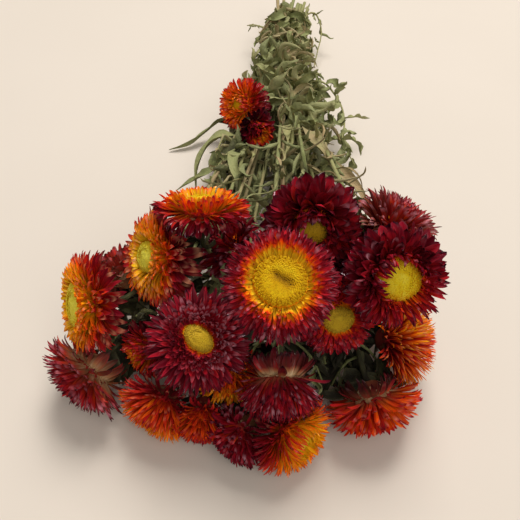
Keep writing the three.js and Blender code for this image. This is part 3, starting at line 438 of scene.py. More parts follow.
class Skin:
    """Closed bodies made of rings of points, and the numbers that their material reads."""

    # deep carries painted shade at the roots of the bracts, sheen a painted highlight near their tips.
    MARKS = ("tone", "dry", "dice", "along", "across", "deep", "sheen")

    def __init__(self):
        self.points = []
        self.faces = []
        self.marks = {name: [] for name in self.MARKS}
        self.count = 0

    def add(self, rings, **marks):
        """rings: bodies x stations x points round x 3, with an even number of points round."""
        bodies, stations, around, _ = rings.shape
        rings = rings.copy()
        rings[..., 2] += np.maximum(GROUND - rings[..., 2].min(axis=2), 0)[..., None]
        index = np.arange(bodies * stations * around).reshape(bodies, stations, around)
        turned = np.roll(index, -1, axis=2)
        sides = np.stack([index[:, :-1], turned[:, :-1], turned[:, 1:], index[:, 1:]], axis=-1)
        quads = [sides.reshape(bodies, -1, 4)]
        for ring, step in ((index[:, 0], 1), (index[:, -1], -1)):
            for k in range(around // 2 - 1):
                corners = [k, around - 1 - k, around - 2 - k, k + 1][::step]
                quads.append(ring[:, None, corners])
        quads = np.concatenate(quads, axis=1)
        flat = rings.reshape(-1, 3)
        volume = np.zeros(bodies)
        for a, b, c in ((0, 1, 2), (0, 2, 3)):
            p, q, r = (flat[quads[..., k]] for k in (a, b, c))
            volume += np.einsum("bfi,bfi->b", p - flat[quads[:, :1, 0]], np.cross(q - p, r - p))
        quads[volume < 0] = quads[volume < 0][..., ::-1]
        self.points.append(flat)
        self.faces.append(quads.reshape(-1, 4) + self.count)
        for name in self.MARKS:
            values = np.broadcast_to(np.asarray(marks.get(name, 0.0), dtype=float), rings.shape[:3])
            self.marks[name].append(values.reshape(-1))
        self.count += len(flat)

    def piece(self, name, material, sharp=50):
        points = (np.concatenate(self.points) + SHIFT) * MM
        faces = np.concatenate(self.faces)
        mesh = bpy.data.meshes.new(name)
        mesh.from_pydata(points.tolist(), [], faces.tolist())
        for mark, values in self.marks.items():
            layer = mesh.attributes.new(mark, "FLOAT", "POINT")
            layer.data.foreach_set("value", np.concatenate(values).astype(np.float32))
        mesh.polygons.foreach_set("use_smooth", np.ones(len(mesh.polygons), dtype=bool))
        mesh.set_sharp_from_angle(angle=math.radians(sharp))
        mesh.materials.append(material)
        mesh.update()
        piece = bpy.data.objects.new(name, mesh)
        bpy.context.collection.objects.link(piece)
        return piece


# ---- Blooms ---------------------------------------------------------------------------------
def axes_of(bloom):
    """The way a bloom faces, and two directions square to it and to each other."""
    az, el = math.radians(bloom["az"]), math.radians(bloom["el"])
    axis = np.array([math.sin(az) * math.cos(el), -math.cos(az) * math.cos(el), math.sin(el)])
    side = unit(np.cross([0, 0, 1], axis))
    return axis, side, np.cross(axis, side)


for bloom in BLOOMS.values():
    bloom["axes"] = axes_of(bloom)
    bloom["middle"] = np.array(bloom["at"]) + 3 * bloom["axes"][0]

HALF_DEPTH = 10
FREE_GAP = 0.3  # blooms that are farther apart than this leave each other alone
SHARES = (0.36, 0.64)  # the least and the most that a bloom gets of the way to its neighbour
OVERLAP = 2.5  # bracts of neighbouring blooms may mingle by this much


def reach_towards(bloom, direction):
    """How far a bloom reaches in a direction, as a flat round body."""
    along = float(np.dot(bloom["axes"][0], direction))
    return math.hypot(bloom["r"] * math.sqrt(max(0, 1 - along * along)), HALF_DEPTH * along)


def room_of(name):
    """The planes between a bloom and its neighbours, and the ground."""
    bloom = BLOOMS[name]
    normals, limits = [np.array([0, 0, -1.0])], [-0.4]
    for other_name, other in BLOOMS.items():
        if other_name == name:
            continue
        gap = other["middle"] - bloom["middle"]
        distance = np.linalg.norm(gap)
        normal = gap / distance
        mine, theirs = reach_towards(bloom, normal), reach_towards(other, normal)
        if mine + theirs + FREE_GAP < distance:
            continue
        share = float(np.clip(mine / (mine + theirs), *SHARES))
        normals.append(normal)
        limits.append(float(np.dot(bloom["middle"], normal)) + distance * share + OVERLAP)
    return np.array(normals), np.array(limits)


# The widths of a bract along its length, and the stations where it has rings.
SCALE = ([0, 0.3, 0.6, 0.82, 0.93, 1], [0.55, 0.8, 0.96, 1, 0.66, 0.06])
NEEDLE = ([0, 0.25, 0.5, 0.7, 0.86, 0.94, 1], [0.6, 0.8, 0.96, 0.96, 0.7, 0.4, 0.05])
BROAD = ([0, 0.2, 0.45, 0.65, 0.84, 0.94, 1], [0.5, 0.84, 1, 0.95, 0.68, 0.36, 0.04])
STATIONS = np.array([0, 0.22, 0.44, 0.64, 0.82, 0.93, 1.0])
ACROSS = np.array([-1.0, 0, 1, 0])  # of the four points of a bract's ring
BRACT_THICK = 0.16
STEEPEST = 84  # the rise of a bract that is pressed against its neighbours, in degrees
SHORTER = 0.88  # a bract that is still in the way is made this much shorter, up to five times


def blades(bloom, turn, root, seat, rise, curl, hook, length, half, broad, roll, sway, cup):
    """Bracts of a bloom as rings of four points: left edge, inner face, right edge, outer face."""
    axis, side, over = bloom["axes"]
    t = STATIONS[None, :]
    col = lambda values: np.asarray(values)[:, None]
    slope = col(rise) + col(curl) * t**1.5 + col(hook) * smooth_step(0.66, 1.0, t)
    step = np.diff(STATIONS)[None, :] * col(length)
    mid_slope = (slope[:, 1:] + slope[:, :-1]) / 2
    start = np.zeros((len(turn), 1))
    out = col(root) + np.concatenate([start, np.cumsum(np.cos(mid_slope) * step, axis=1)], axis=1)
    up = col(seat) + np.concatenate([start, np.cumsum(np.sin(mid_slope) * step, axis=1)], axis=1)
    aside = col(sway) * col(length) * t**2
    ray = spokes(col(turn), side, over)
    cross = spokes(col(turn), over, -side)
    middle = np.array(bloom["at"]) + ray * out[..., None] + axis * up[..., None] + cross * aside[..., None]
    inner = -ray * np.sin(slope)[..., None] + axis * np.cos(slope)[..., None]
    angle = (col(roll) * t)[..., None]
    across = cross * np.cos(angle) + inner * np.sin(angle)
    inner = inner * np.cos(angle) - cross * np.sin(angle)
    narrow = NEEDLE if bloom["look"] in NEEDLE_LOOKS else SCALE
    shape = np.interp(t, *narrow) * (1 - col(broad)) + np.interp(t, *BROAD) * col(broad)
    width = (col(half) * shape)[..., None]
    lift = inner * width * col(cup)[..., None]
    return np.stack(
        [middle - across * width + lift, middle + inner * BRACT_THICK * 0.2,
         middle + across * width + lift, middle - inner * BRACT_THICK],
        axis=2,
    )


def facing(way, ray, low, high):
    """From 0 to 1, how far the bracts at ray stand on the side that way points to."""
    return smooth_step(low, high, ray @ unit(np.array(way, dtype=float)))


def oval(name, turn):
    """What the disc's radius is multiplied with in the direction turn."""
    narrow_way, ratio = OVALS.get(name, ROUND)
    angle = turn - math.radians(narrow_way)
    return 1 / np.sqrt((np.cos(angle) / ratio) ** 2 + np.sin(angle) ** 2)


def bare_of(bloom):
    """The radius of the disc that the bracts leave bare, a part of r."""
    return bloom.get("bare", bloom["disc"])


def bracts(skin, name, bloom, rng):
    """The bracts of a bloom, drawn at random round its habit, fitted into its room and toned."""
    count, r = bloom["count"], bloom["r"]
    axis, side, over = bloom["axes"]
    kind = bloom["kind"]
    rises, curls, reaches = HABITS[kind]
    spread, rows, tips, dark = LOOKS[bloom["look"]]
    strawy = kind in STRAWY
    normals, limits = room_of(name)
    rank = np.arange(count)
    f = (rank / (count - 1)) ** 1.2
    swept = smooth_step(*SWEPT_ROWS[kind], f) if strawy else np.zeros(count)
    turn = rank * GOLDEN_ANGLE + rng.normal(0, 0.06, count)
    ray = spokes(turn, side, over)
    waves = 4 * np.sin(2 * turn + rng.uniform(0, 6.3)) + 4 * np.sin(3 * turn + rng.uniform(0, 6.3))
    disc = bare_of(bloom) or 0.12
    root_end = bare_of(bloom) + 0.02 if bloom["disc"] else CLOSED_ROOT
    root = np.interp(f, [0, 0.45, 1], [0.42, 0.4, root_end]) * r
    root = root * (1 - smooth_step(0.4, 1, f) * (1 - oval(name, turn)))
    seat = np.interp(f, *SEATS) - bloom.get("sunk", 0) * f
    tidy = strawy or kind == "drum" or bloom["look"] in NEEDLE_LOOKS
    ragged = np.full(count, 0.6 if tidy else 1)
    if kind == "collar":
        ragged = 1 - 0.6 * smooth_step(0.36, 0.44, f)
    rise = np.interp(f, *rises) + rng.normal(0, 7, count) * ragged + waves
    curl = np.interp(f, *curls) + rng.normal(0, 10, count) * ragged
    hook = np.interp(f, [0, 0.4, 0.7, 1], [-24, -16, 0, 8]) + rng.normal(0, 22, count) * ragged
    length = np.interp(f, *reaches) * r * rng.normal(1, 0.05, count)
    half = bloom["half"] * np.interp(f, *SPANS.get(kind, PLAIN_SPAN)) * rng.normal(1, 0.14, count)
    half = half * (1 + (0.8 if kind == "dome" else 0) * swept)
    rise = rise + swept * rng.normal(0, 8, count)
    broad = np.ones(count) if bloom["half"] > 1.4 else swept
    if kind == "drum":
        broad = smooth_step(0.36, 0.24, f)
    if kind == "collar":
        broad = np.ones(count)
    if name in FINE_SIDES:
        half = half * (1 - 0.55 * facing(FINE_SIDES[name], ray, 0, 0.6))
    roll = rng.normal(0, 0.5, count) * ragged
    sway = rng.normal(0, 0.08, count)
    cup = rng.uniform(0.3, 0.85, count) * (1 - 0.8 * swept)
    for way, start, end, more_rise, more_curl, longer in SIDES.get(name, ()):
        side_part = facing(way, ray, 0.1, 0.9) * smooth_step(start, start + 0.2, f)
        side_part = side_part * smooth_step(end + 0.1, end, f)
        rise = rise + more_rise * side_part
        curl = curl + more_curl * side_part
        length = length * (1 + longer * side_part)

    # A bract in a neighbour's way is raised step by step, and at last shortened.
    def make(rise, length):
        return blades(bloom, turn, root, seat, np.radians(rise), np.radians(curl), np.radians(hook),
                      length, half, broad, roll, sway, cup)

    def past_limits(rings):
        ends = rings[:, 3:, 3]
        return (np.einsum("bsi,ni->bsn", ends, normals) - limits).max(axis=(1, 2)) > 0

    free_rise = rise.copy()
    for press in np.arange(0.1, 1.0, 0.1):
        blocked = past_limits(make(rise, length))
        if not blocked.any():
            break
        rise = np.where(blocked, free_rise + (STEEPEST - free_rise) * press, rise)
    for _ in range(5):
        blocked = past_limits(make(rise, length))
        length = np.where(blocked, length * SHORTER, length)

    reach = (root[:, None] + length[:, None] * STATIONS) / r
    outwards = (reach - disc) / (1.02 - disc)
    tone = np.interp(outwards, *spread)
    tone += np.interp(f, *rows)[:, None]
    tone += tips * smooth_step(0.55, 1.0, STATIONS)
    tone += rng.normal(0, 0.05, count)[:, None]
    dark_tip = (rng.random(count) < dark) * rng.uniform(0.1, 0.4, count)
    tone += dark_tip[:, None] * smooth_step(0.8, 1.0, STATIONS)
    if name in BLUSH_AND_SHADE:
        way, adds, start, shared = BLUSH_AND_SHADE[name]
        outer_part = np.interp(outwards, [0, 0.6], [0.2, 1])
        outer_part *= np.interp(f, [0.3, 0.7], [1, shared])[:, None]
        tone += adds * facing(way, ray, start, start + 1.0)[:, None] * outer_part
    # deep: painted shade towards the roots of the bracts, by rank from the tables above.
    deep = np.interp(f, *PAINTED_ROOT_SHADE.get(kind, PLAIN_ROOT_SHADE))[:, None] * smooth_step(0.8, 0.2, STATIONS)
    # sheen: a painted highlight near the tips of some bracts.
    share, most = GLEAMS.get(name, PLAIN_GLEAM)
    gleam = (rng.random(count) < share) * rng.uniform(0.1, most, count) * (1 - swept)
    # On the collar the painted highlight sits on the inner rows, on the side that faces up and towards +x.
    if kind == "collar":
        gleam *= np.interp(f, [0.36, 0.44], [0.06, 1.3]) * facing((0.7, 0, 0.7), ray, -0.8, 0.4)
    spot = (0.64, 0.82, 1.0 if kind == "collar" else 0.93)
    sheen = gleam[:, None] * np.interp(STATIONS, spot, (0, 1, 0))
    if strawy:
        bent_tones = np.interp(STATIONS, [0, 0.22, 0.44, 1], [-0.3, -0.2, 0.04, 0.16])
        # dusk: painted shade on the bent-back bracts.
        tone += swept[:, None] * (bent_tones + bloom.get("dusk", 0))
        straw_ends = smooth_step(0.3 + 0.6 * bloom["straw"], 0.1, STATIONS)
        straw_roots = bloom["straw"] * smooth_step(0.6, 0.14, f)[:, None] * straw_ends
        bent_straw = np.interp(STATIONS, *STRAW_PARTS[kind]) * (1 - 2 * bloom.get("dusk", 0))
        dry = np.maximum(swept[:, None] * bent_straw, straw_roots * (1 - swept[:, None]))
    else:
        dry = 0.5 * smooth_step(0.05, 0.0, f)[:, None] * smooth_step(0.4, 0.1, STATIONS)
    dry = dry + bloom.get("faded", 0) * (1 - f)[:, None]
    skin.add(
        make(rise, length),
        tone=tone[..., None],
        deep=deep[..., None],
        sheen=sheen[..., None],
        dry=dry[..., None],
        dice=rng.random(count)[:, None, None],
        along=STATIONS[None, :, None],
        across=ACROSS[None, None, :],
    )


def receptacle(skin, name, bloom):
    """The solid heart of a bloom, from the neck to the disc's seat."""
    axis, side, over = bloom["axes"]
    r = bloom["r"]
    top = bare_of(bloom) + 0.02 if bloom["disc"] else 0.16
    sunk = bloom.get("sunk", 0)
    rows = [
        (NECK_RADIUS, NECK_HEIGHT), (CUP_RADIUS * r * 0.6, -8), (CUP_RADIUS * r * 0.92, CUP_HEIGHT),
        (0.4 * r, -3.2), (0.425 * r, -1.5), (0.42 * r, 1.5 - 0.4 * sunk), (0.39 * r, 3.6 - 0.7 * sunk),
        (top * r, SEAT_HEIGHT - sunk),
    ]
    turn = np.arange(20) / 20 * 2 * math.pi
    ray = spokes(turn, side, over)
    rings = [np.array(bloom["at"]) + ray * radius + axis * height for radius, height in rows[:-1]]
    radius, height = rows[-1]
    rings.append(np.array(bloom["at"]) + ray * (radius * oval(name, turn))[:, None] + axis * height)
    below = np.array([0.9, 0.6, 0.4, 0.3, 0.2, 0, 0, 0])[None, :, None]
    tone = np.array([0.8, 0.8, 0.8, 0.8, 0.7, 0.5, 0.4, 0.26])[None, :, None]
    # dusk takes straw colour from the heart's underside: painted shade.
    below = below * (0.3 if bloom["look"] in NEEDLE_LOOKS else 1 - 2 * bloom.get("dusk", 0))
    skin.add(np.array(rings)[None], tone=tone, dry=below, dice=0.4, along=0.3, across=0.0)


def scales(skin, bloom, rng):
    """Short straw-coloured bracts that overlap like tiles on the leafy cup."""
    count = 42
    rank = np.arange(count)
    f = rank / (count - 1)
    turn = rank * GOLDEN_ANGLE + rng.normal(0, 0.05, count)
    root = np.interp(f, [0, 0.5, 1], [0.3, 0.38, 0.43]) * bloom["r"]
    root = np.maximum(root - 2, NECK_RADIUS)
    seat = np.interp(f, [0, 0.5, 1], [-7.6, -5.2, -2.6])
    rise = np.radians(np.interp(f, [0, 0.5, 1], [42, 30, 2]) + rng.normal(0, 6, count))
    curl = np.radians(rng.normal(10, 8, count))
    length = bloom["r"] * np.interp(f, [0, 1], [0.2, 0.3]) * rng.normal(1, 0.1, count)
    half = rng.normal(1.7, 0.2, count)
    hook = rng.normal(0, 0.15, count)
    roll = rng.normal(0, 0.12, count)
    sway = rng.normal(0, 0.05, count)
    rings = blades(bloom, turn, root, seat, rise, curl, hook, length, half, np.ones(count), roll, sway,
                   rng.uniform(0.1, 0.3, count))
    dry = np.interp(STATIONS, [0, 0.6, 1], [1.0, 0.9, 0.55]) * (0.4 if bloom["look"] in NEEDLE_LOOKS else 1)
    skin.add(rings, tone=0.85, dry=dry[None, :, None], dice=rng.random(count)[:, None, None],
             along=STATIONS[None, :, None], across=ACROSS[None, None, :])


# ---- Discs ----------------------------------------------------------------------------------
# For each: its tone, 0 fresh lemon to 1 brown, the number of its florets, how far they stand out,
# and how olive it is.
DISCS = {
    "h01": (0.34, 640, 0.55, 0), "h02": (0.4, 240, 0.1, 0.4), "h03": (0.18, 260, 0.1, 0),
    "h04": (0.58, 180, 0.3, 0.2), "h05": (0.06, 200, 0.1, 0), "h06": (0.3, 140, 0.4, 0),
    "h07": (0.08, 200, 0.1, 0), "h14": (0.2, 180, 0.4, 0), "h18": (0.4, 200, 0.3, 0.4),
    "h23": (0.36, 140, 0.4, 0),
}
# Half-closed discs have a curved groove round their middle, on the side at this angle. The
# groove is also painted darker: painted shade.
GROOVES = {"h02": 2.4, "h03": 0.6, "h05": 2.8, "h07": 2.8, "h18": 2.0}


def disc_height(name, u, v):
    """Height of a disc over its seat at (u, v), parts of its radius, and how near the slit is."""
    p = np.hypot(u, v)
    height = np.interp(p, [0, 0.22, 0.66, 0.93, 1], [1.1, 1.1, 1.0, 0.62, 0.35])
    if name == "h01":
        across = (u - 0.1) * 0.56 + (v - 0.05) * 0.83
        along = (u - 0.1) * 0.83 - (v - 0.05) * 0.56
        slit = np.exp(-(across / 0.19) ** 2) * np.exp(-(along / 0.5) ** 4)
        return (height - 0.2 * smooth_step(0.75, 0.2, p) - 0.5 * slit) * DISC_HEIGHT, slit
    if name in GROOVES:
        angle = GROOVES[name]
        towards = (u * math.cos(angle) + v * math.sin(angle)) / np.maximum(p, 0.05)
        groove = np.exp(-((p - 0.48) / 0.13) ** 2) * smooth_step(-0.5, 0.6, towards)
        return (height - 0.22 * groove) * DISC_HEIGHT, 0.3 * groove
    return height * DISC_HEIGHT, np.zeros_like(p)


def disc(name, bloom, rng):
    """A mound, and the florets that stand on it."""
    axis, side, over = bloom["axes"]
    radius = bare_of(bloom) * bloom["r"]
    seat = SEAT_HEIGHT + 0.25 - bloom.get("sunk", 0)
    base_tone, count, grain, olive = DISCS[name]
    skin = Skin()

    def spot(u, v):
        """The place on the mound over (u, v), the place under it on the seat, and the slit there."""
        height, slit = disc_height(name, u, v)
        wide = radius * oval(name, np.arctan2(v, u))
        level = np.array(bloom["at"]) + side * (u * wide)[:, None] + over * (v * wide)[:, None]
        return level + axis * (seat + height)[:, None], level + axis * seat, slit

    turn = np.arange(32) / 32 * 2 * math.pi
    rings, marks = [], []
    for part in (0.96, 1.0, 0.9, 0.8, 0.66, 0.5, 0.36, 0.22, 0.08):
        place, under, slit = spot(part * np.cos(turn), part * np.sin(turn))
        rings.append(place if rings else under)
        marks.append(base_tone + 0.2 + 0.5 * slit)
    skin.add(np.array(rings)[None], tone=np.array(marks)[None], dry=olive, dice=0.5, along=0.2)

    rank = np.arange(count)
    p = np.sqrt((rank + 0.5) / count) * 0.985
    angle = rank * GOLDEN_ANGLE + rng.normal(0, 0.03, count)
    u, v = p * np.cos(angle), p * np.sin(angle)
    foot, _, slit = spot(u, v)
    lean = 0.25 + 0.5 * p
    ray = unit(u[:, None] * side + v[:, None] * over + 1e-6)
    way = unit(axis + ray * lean[:, None] + rng.normal(0, 0.12, (count, 3)))
    spacing = radius * math.sqrt(math.pi / count) * math.sqrt(OVALS.get(name, ROUND)[1])
    opened = smooth_step(0.6, 0.85, p)
    tall = (0.2 + 1.2 * opened * grain) * rng.normal(1, 0.12, count)
    wide = spacing * np.interp(p, [0.5, 0.8], [0.7, 0.56]) * rng.normal(1, 0.06, count)
    flat_side = unit(np.cross(way, ray + 0.01))
    flat_over = np.cross(way, flat_side)
    corner = (np.arange(6) / 6 * 2 * math.pi)[None, :]
    offset = spokes(corner, flat_side[:, None], flat_over[:, None])
    rings = []
    for part, size in ((-0.3, 1.0), (0.35, 0.85), (0.8, 1.0), (1.0, 0.85), (0.75, 0.3)):
        centre = foot + way * (tall * part)[:, None]
        rings.append(centre[:, None] + offset * (wide * size)[:, None, None])
    middle = smooth_step(0.6, 0.1, p) * (0.08 if name == "h01" else 0.0)
    tone = base_tone + 0.05 * rng.normal(0, 1, count) * opened + 0.3 * slit - 0.04 * (1 - opened) + middle
    # The foot of each floret and its open top are darker: painted shade between the florets and in their
    # mouths.
    rim = np.array([0.3, 0.08, 0, -0.04, 0.34])
    tone = tone[:, None, None] + rim[None, :, None] * (0.12 + 0.88 * opened)[:, None, None]
    dice = rng.random(count)[:, None, None]
    skin.add(np.stack(rings, axis=1), tone=tone, dry=olive, dice=dice, along=0.5)
    return skin.piece("florets_" + name, MATERIALS["disc"], sharp=70)


# ---- Stems and leaves -----------------------------------------------------------------------
def route_of(name):
    """The line of a stem: from its bloom, by its bends and level through the tie, to its cut end.

    It is the CAD source's own, to a tenth of a mm, and the tiny length rounds its halves upwards."""
    column, row, end_y, *bends = TIED[name]
    place, axis = np.array(BLOOMS[name]["at"]), BLOOMS[name]["axes"][0]
    x, z = column * COLUMN, row * ROW
    tied = [(TIE[0] + x, TIE[1] + part, TIE_ROW_Z + z) for part in (-TIE_STRETCH, TIE_STRETCH)]
    end = LONG_ENDS.get(name, (END_X + END_SPREAD * x, end_y, END_Z + END_SPREAD * z))
    route = [place - STEM_START * axis, place - STEM_BEND * axis, *bends, *tied, end]
    return np.round(np.array(route) + 1e-6, 1)


def foot_of(name, foot):
    """Where a leaf starts: a place, or the y of one on the stem, in whole mm."""
    if isinstance(foot, tuple):
        return foot
    route = route_of(name)[1:]
    return [round(float(np.interp(foot, route[:, 1], route[:, i]))) for i in range(3)]


def rounded(route, per_span):
    """A smooth line through the points of a route, which keeps near its straight stretches."""
    points = [np.array(p, dtype=float) for p in route]
    line = []
    for i in range(len(points) - 1):
        a, b = points[i], points[i + 1]
        span = np.linalg.norm(b - a)
        before = points[i - 1] if i else a - (b - a)
        after = points[i + 2] if i + 2 < len(points) else b + (b - a)
        pull = min(0.33 * span, 30)
        leave = a + unit(unit(b - a) + unit(a - before)) * pull
        arrive = b - unit(unit(b - a) + unit(after - b)) * pull
        steps = max(2, int(span / per_span))
        for k in range(steps):
            t = k / steps
            line.append((1 - t) ** 3 * a + 3 * t * (1 - t) ** 2 * leave
                        + 3 * t * t * (1 - t) * arrive + t**3 * b)
    line.append(points[-1])
    return np.array(line)


def tube(skin, line, radii, sides=8, **marks):
    """A round rod along a line, with a radius for each of its points."""
    along = unit(np.gradient(line, axis=0))
    side = np.cross(along[0], [0, 0, 1.0])
    turn = np.arange(sides) / sides * 2 * math.pi
    rings = []
    for point, way, radius in zip(line, along, radii):
        side = unit(side - way * np.dot(side, way))
        rings.append(point + spokes(turn, side, np.cross(way, side)) * radius)
    skin.add(np.array(rings)[None], across=np.cos(turn)[None, None, :], **marks)


LEAF_T = np.linspace(0, 1, 13)  # stations along a leaf
LEAF_X = np.array([-1, -0.4, 0.4, 1])  # places across it
LEAF_WIDTHS = ([0, 0.06, 0.2, 0.4, 0.65, 0.85, 0.95, 1], [0.3, 0.5, 0.85, 1, 0.9, 0.55, 0.25, 0.06])
# The bundle of stems along y: its middle, and the radius that the leaves keep to, in mm.
BUNDLE_Y = (60, 150, 306, 350, 380)
BUNDLE_X = (4, 6, 11, 15, 19)
BUNDLE_Z = (48, 30, 14, 14, 12)
BUNDLE_R = (64, 44, 25, 20, 9)
LEAVES_END = 377  # no leaf reaches past this, along y
VIEW = unit(np.array([-0.03, -0.64, 0.77]))  # from the blooms towards the eye
FAR_LEAVES = (130, 220)  # between these, along y, the leaves get broader and more crumpled
LEAF_LOWEST = 0.8
CLEAR_OF_BLOOM = (14, 7)  # leaves keep this far from a bloom's middle, before and behind it
CLEAR_VIEW = 40  # and this far towards the eye from it


def leaf(skin, line, normal, half, twist, gutter, ruffle, phase, tone, dice):
    """A dried leaf along a line: a curled, twisted trough with wavy edges."""
    count = len(line)
    t = np.linspace(0, 1, count)
    along = unit(np.gradient(line, axis=0))
    flat = unit(normal - along[0] * np.dot(normal, along[0]))
    width = half * np.interp(t, *LEAF_WIDTHS) * (1 + 0.16 * np.sin(9 * t + phase))
    rings = []
    for k in range(count):
        flat = unit(flat - along[k] * np.dot(flat, along[k]))
        turn = twist[0] + (twist[1] - twist[0]) * t[k]
        cross = np.cross(along[k], flat)
        out = flat * math.cos(turn) + cross * math.sin(turn)
        across = np.cross(out, along[k])
        bend = max(0.05, gutter[0] + (gutter[1] - gutter[0]) * t[k])
        angle = LEAF_X * bend
        level = (1 - np.cos(angle)) / bend + 0.18 * np.abs(LEAF_X)
        wave = np.sin(2 * math.pi * 2.6 * t[k] + phase + 1.9 * np.sign(LEAF_X))
        level = level + ruffle * LEAF_X * LEAF_X * wave
        top = (line[k] + across * (np.sin(angle) / bend * width[k])[:, None]
               + out * (level * width[k])[:, None])
        rings.append(np.concatenate([top, top[2:0:-1] - out * 0.35]))
    across_mark = np.concatenate([LEAF_X, LEAF_X[2:0:-1]])
    under = np.array([0, 0, 0, 0, 1, 1.0])
    skin.add(np.array(rings)[None], tone=tone, dry=under[None, None, :], dice=dice,
             along=t[None, :, None], across=across_mark[None, None, :])


def inside_a_bloom(points):
    """Whether a leaf cuts into a bloom, or lies over its face."""
    for bloom in BLOOMS.values():
        offset = points - bloom["middle"]
        along = offset @ bloom["axes"][0]
        across = np.linalg.norm(offset - along[:, None] * bloom["axes"][0], axis=1)
        wide, deep = bloom["r"] * 0.92, np.where(along > 0, *CLEAR_OF_BLOOM)
        if ((across / wide) ** 2 + (along / deep) ** 2 < 1).any():
            return True
        ahead = offset @ VIEW
        beside = np.linalg.norm(offset - ahead[:, None] * VIEW, axis=1)
        if ((ahead > 0) & (ahead < CLEAR_VIEW) & (beside < bloom["r"] * 0.75)).any():
            return True
    return False


def gathered(points):
    """Points of a leaf, drawn in towards the bundle of stems where they stray from it."""
    y = points[:, 1]
    middle = np.stack([np.interp(y, BUNDLE_Y, BUNDLE_X), y, np.interp(y, BUNDLE_Y, BUNDLE_Z)], axis=1)
    offset = points - middle
    away = np.linalg.norm(offset, axis=1)
    limit = np.interp(y, BUNDLE_Y, BUNDLE_R)
    kept = np.where(away > limit, limit + (away - limit) * 0.25, away)
    return middle + offset * (kept / np.maximum(away, 1e-6))[:, None]


def leaf_line(spot, forward, outward, length, crumple, rng):
    """The middle line of a leaf that leaves a stem at spot, more curled where crumple is near 1."""
    cross = np.cross(forward, outward)
    spread = math.radians(rng.uniform(8, 42))
    bend = rng.normal(0.1, 1.0)
    swing = rng.normal(0, 0.6 + 0.7 * crumple)
    ripple = rng.uniform(0.15, 0.5) + 0.5 * crumple
    pace, start = rng.uniform(4, 9), rng.uniform(0, 6.3)
    points = [spot]
    for t in LEAF_T[1:]:
        up = spread + bend * t**1.5 + ripple * math.sin(pace * t + start)
        aside = swing * (0.3 + t) + ripple * math.cos(0.8 * pace * t + start)
        way = forward * math.cos(up) * math.cos(aside) + outward * math.sin(up) + cross * math.sin(aside)
        points.append(points[-1] + unit(way) * length / (len(LEAF_T) - 1))
    return np.array(points)


def random_leaf(skin, spot, forward, outward, length, half, crumple, tone, rng):
    """One leaf, tried again and shorter where it would cut into a bloom, and at last left out."""
    for _ in range(6):
        points = gathered(leaf_line(spot, forward, outward, length, crumple, rng))
        if not inside_a_bloom(points[1:]):
            break
        length *= 0.86
    else:
        return
    points[:, 1] = np.minimum(points[:, 1], LEAVES_END)
    points[:, 2] = np.maximum(points[:, 2], LEAF_LOWEST)
    leaf(skin, points, outward, half, (rng.normal(0, 0.5), rng.normal(0, 1.2 + 0.9 * crumple)),
         (rng.uniform(0.3, 1.3), rng.uniform(0.8, 2.4)), rng.uniform(0.15, 0.5), rng.uniform(0, 6.3),
         tone, rng.random())


def own_leaves(name):
    """The leaves of a stem that have a place of their own: line, half width, tone and flatness."""
    yield from LEAVES.get(name, ())
    for foot, *points, half, tone in PAINTED_SHADE_LEAVES.get(name, ()):
        yield [foot_of(name, foot), *points], half, tone, 1
    for foot, *points, half in GAP_LEAVES.get(name, ()):
        heights, tone = NEAR_GAPS if points[0][1] < FAR_GAPS_START else FAR_GAPS
        points = [(x, y, z) for (x, y), z in zip(points, heights)]
        yield [foot_of(name, foot), *points], half, tone, 1


def leafy_stem(name, number, rng):
    """A stem with its random leaves, then the leaves and the shoots that have their own place."""
    skin = Skin()
    line = rounded(route_of(name), 9)
    steps = np.linalg.norm(np.diff(line, axis=0), axis=1)
    passed = np.concatenate([[0], np.cumsum(steps)])
    total = passed[-1]
    radii = STEM_RADIUS * (1 + 0.12 * np.sin(passed / 17 + number)) * np.interp(passed / total, *STEM_GIRTH)
    # The stem is darker over its first 100 mm and near-black at the bloom: painted shade under the blooms.
    bark = (0.5 + 0.35 * rng.random()) * np.interp(passed, [0, 50, 100], [0.06, 0.2, 1])
    tube(skin, line, radii, tone=bark[None, :, None], dice=rng.random(), along=(passed / 60)[None, :, None])

    def at(distance):
        return np.array([np.interp(distance, passed, line[:, i]) for i in range(3)])

    distance = 4.0
    while distance < total - 6:
        spot = at(distance)
        forward = unit(at(distance - 4) - at(distance + 4))
        crumple = float(smooth_step(*FAR_LEAVES, spot[1]))
        near = float(smooth_step(70, 20, distance))
        middle_x = np.interp(spot[1], BUNDLE_Y, BUNDLE_X)
        middle_z = np.interp(spot[1], BUNDLE_Y, BUNDLE_Z)
        scatter = 0.9 + 2.2 * near
        away = math.atan2(spot[2] - middle_z + 2, spot[0] - middle_x) + rng.normal(0, scatter)
        outward = np.array([math.cos(away), 0, math.sin(away)])
        outward = unit(outward - forward * np.dot(outward, forward))
        length = rng.uniform(20, 38) - 8 * near
        half = rng.uniform(1.4, 2.7) + crumple * rng.uniform(1.3, 3.0)
        # Leaves near the blooms are darker, down to near-black: painted shade under the blooms.
        tone = rng.normal(0.24 + 0.22 * crumple - 0.2 * near, 0.14)
        if near < 0.5 and rng.random() < 0.45 - 0.15 * crumple:
            # A withered leaf: a narrow tan ribbon.
            length, half, tone = length * 1.3, half * 0.5, rng.uniform(0.6, 0.95)
        tone = float(np.clip(tone, 0.13 * (1 - near), 0.95))
        random_leaf(skin, spot, forward, outward, length, half, crumple, tone, rng)
        distance += rng.uniform(0.6, 1.4) * (9 - 1.6 * crumple - 3.5 * near)
    for route, half, tone, flat in own_leaves(name):
        twist = (0.4 - 0.4 * flat, 1.3 - 1.2 * flat)
        gutter = (0.9 - 0.6 * flat, 1.9 - 1.4 * flat)
        leaf(skin, rounded(route, 3), np.array([0, -0.3, 1.0]), half, twist, gutter, 0.35 - 0.2 * flat,
             len(route), tone, 0.3)
    for tone, half, length, apart, route in SHOOTS.get(name, ()):
        shoot(skin, rounded(route, apart), tone, half, length, rng)
    return skin.piece("leafy_stem_" + name, MATERIALS["stem_leaf"], sharp=75)


